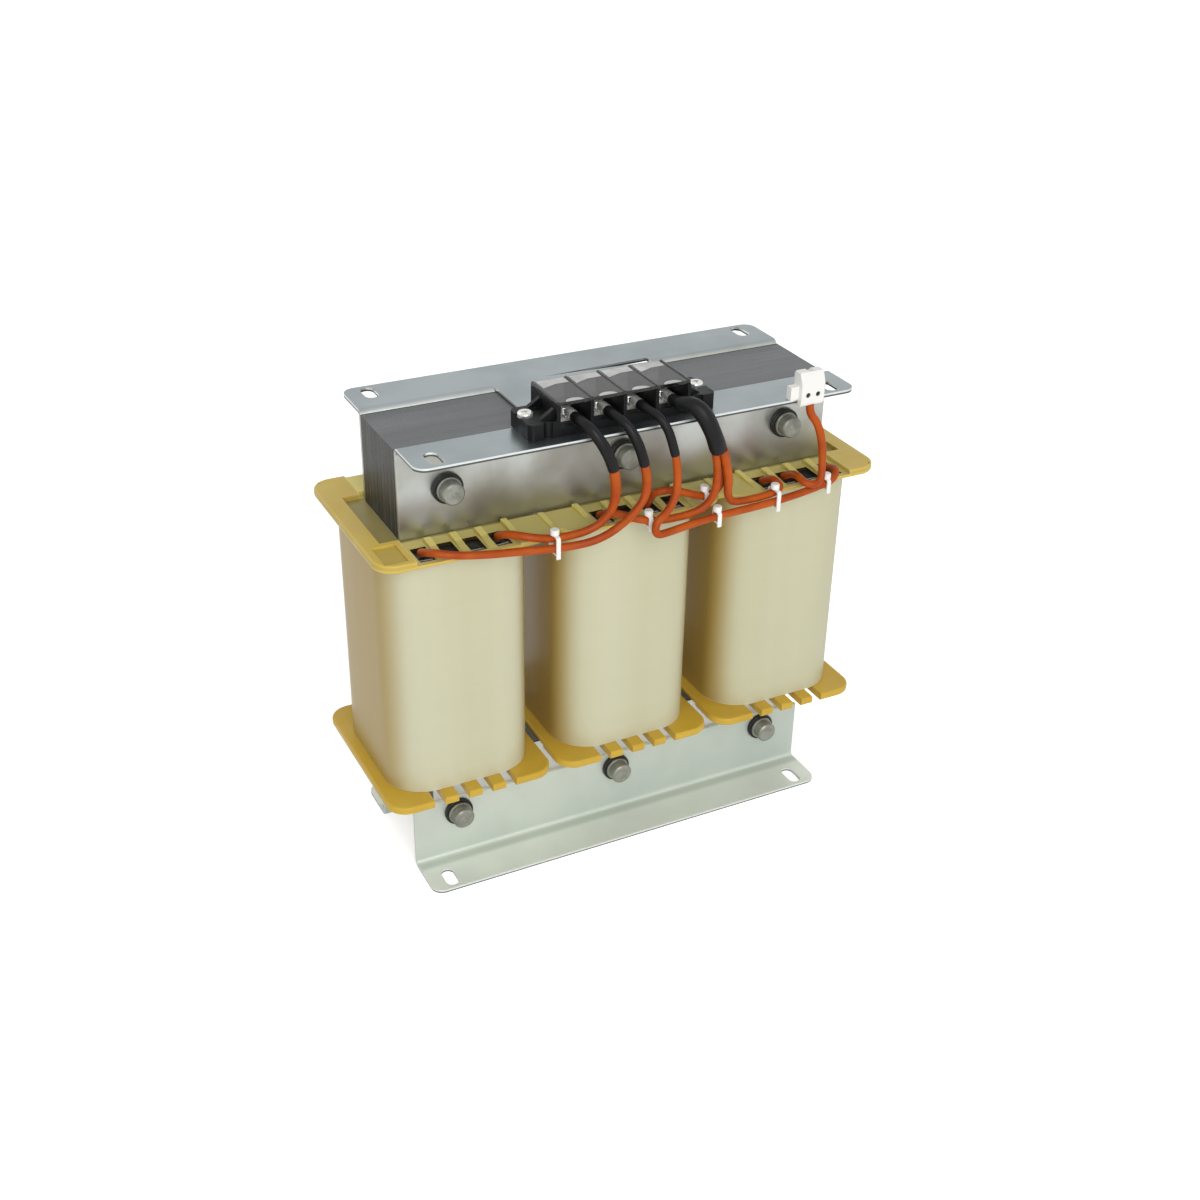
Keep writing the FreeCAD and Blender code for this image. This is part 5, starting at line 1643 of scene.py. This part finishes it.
@dataclass
class Studio:
    """The plain floor, the soft light and the camera."""

    world_light: float = 0.5
    floor_size: float = 8.0
    floor_glow: float = 0.38
    floor_white: float = 0.2
    aim: Point = (0.0, 0.0, 0.12)
    lamps: tuple[tuple[str, Point, float, float], ...] = (
        ("key_lamp", (-0.3, -1.6, 1.1), 1.0, 13.5), ("low_lamp", (-0.5, -1.5, 0.35), 0.9, 4.0),
        ("fill_lamp", (1.5, -0.7, 0.9), 1.4, 1.5), ("rear_lamp", (-0.7, 1.3, 1.3), 1.4, 4.0))
    lens: float = 47.79
    shift: Pair = (-0.0053, 0.0175)
    clip: Pair = (0.05, 50.0)
    camera_place: Point = (-345.67, -672.27, 552.64)
    camera_angles: Point = (-27.61, 30.30, 1.24)

    def white_for(self, graph: Graph) -> Socket:
        """Gives 1 for the rays that see the surroundings as plain white.

        Args:
            graph: The graph of the world or the floor.

        Returns:
            The value, 0 for all other rays.
        """
        path = graph.add("LightPath")
        seen: Any = 0.0
        for ray in Ray:
            seen = graph.math("MAXIMUM", seen, path.outputs[ray.value])
        return seen

    def make_world(self) -> None:
        """Makes an even surround that reads as white behind the object."""
        world = bpy.data.worlds.new("studio_surround")
        world.use_nodes = True
        bpy.context.scene.world = world
        graph = Graph(world.node_tree)
        graph.tree.nodes.clear()
        light, white = (graph.add("Background", {"Color": WHITE, "Strength": strength}).outputs[0]
                        for strength in (self.world_light, 1.0))
        mixed = graph.add("MixShader", {0: self.white_for(graph), 1: light, 2: white})
        graph.add("OutputWorld", {0: mixed.outputs[0]})

    def floor_shape(self, shape: Shape) -> None:
        """Draws one large square."""
        half = self.floor_size / 2
        shape.faces.new([shape.verts.new((x, y, 0.0))
                         for x, y in ((-half, -half), (half, -half), (half, half), (-half, half))])

    def make_floor(self) -> None:
        """Lays the pale floor, which keeps the object's shadow."""
        floor = put("floor", mesh_from("floor", self.floor_shape))
        material = bpy.data.materials.new("floor_pale")
        material.use_nodes = True
        graph = Graph(material.node_tree)
        seen = graph.add("LightPath").outputs[Ray.CAMERA.value]
        glow = graph.weigh(self.white_for(graph), self.floor_glow, seen, self.floor_white)
        graph.feed(material.node_tree.nodes["Principled BSDF"], {
            "Base Color": (0.9, 0.9, 0.9, 1.0), "Roughness": 0.9, "Specular IOR Level": 0.1,
            "Emission Color": WHITE, "Emission Strength": glow})
        floor.data.materials.append(material)

    def add_lamp(self, name: str, place: Point, size: float, power: float) -> None:
        """Adds one large soft lamp.

        Args:
            name: The lamp's name.
            place: Where it stands, in metres.
            size: The side of its square face.
            power: Its power in watts.
        """
        lamp = put(name, set_up(bpy.data.lights.new(name, "AREA"), size=size, energy=power))
        lamp.location = place
        lamp.rotation_euler = (Vector(self.aim) - Vector(place)).to_track_quat("-Z", "Y").to_euler()

    def make_camera(self) -> None:
        """Places the camera where the photograph was taken from."""
        camera = put("camera", set_up(
            bpy.data.cameras.new("camera"), sensor_width=36.0, lens=self.lens, shift_x=self.shift[0],
            shift_y=self.shift[1], clip_start=self.clip[0], clip_end=self.clip[1]))
        azimuth, elevation, roll = (math.radians(angle) for angle in self.camera_angles)
        back = Vector((math.sin(azimuth) * math.cos(elevation), -math.cos(azimuth) * math.cos(elevation),
                       math.sin(elevation)))
        right = Vector((math.cos(azimuth), math.sin(azimuth), 0.0))
        up = back.cross(right)
        right, up = (right * math.cos(roll) + up * math.sin(roll), up * math.cos(roll) - right * math.sin(roll))
        turned = Matrix((right, up, back)).transposed().to_4x4()
        turned.translation = Vector(self.camera_place) * MM
        camera.matrix_world = turned
        bpy.context.scene.camera = camera

    def build(self) -> None:
        """Sets up everything round the object."""
        self.make_world()
        self.make_floor()
        self.make_camera()
        for lamp in self.lamps:
            self.add_lamp(*lamp)
        bpy.context.scene.view_settings.view_transform = "Standard"


def main() -> None:
    """Builds the reactor's looks and the studio round it."""
    logging.basicConfig(level=logging.INFO, format="%(name)s %(message)s")
    Studio().build()
    for assembly in (Core(), Coils(), Clamps(), TerminalBlock(), Harness()):
        LOG.info("assembly %s", type(assembly).__name__)
        assembly.dress()


if __name__ == "__main__":
    main()
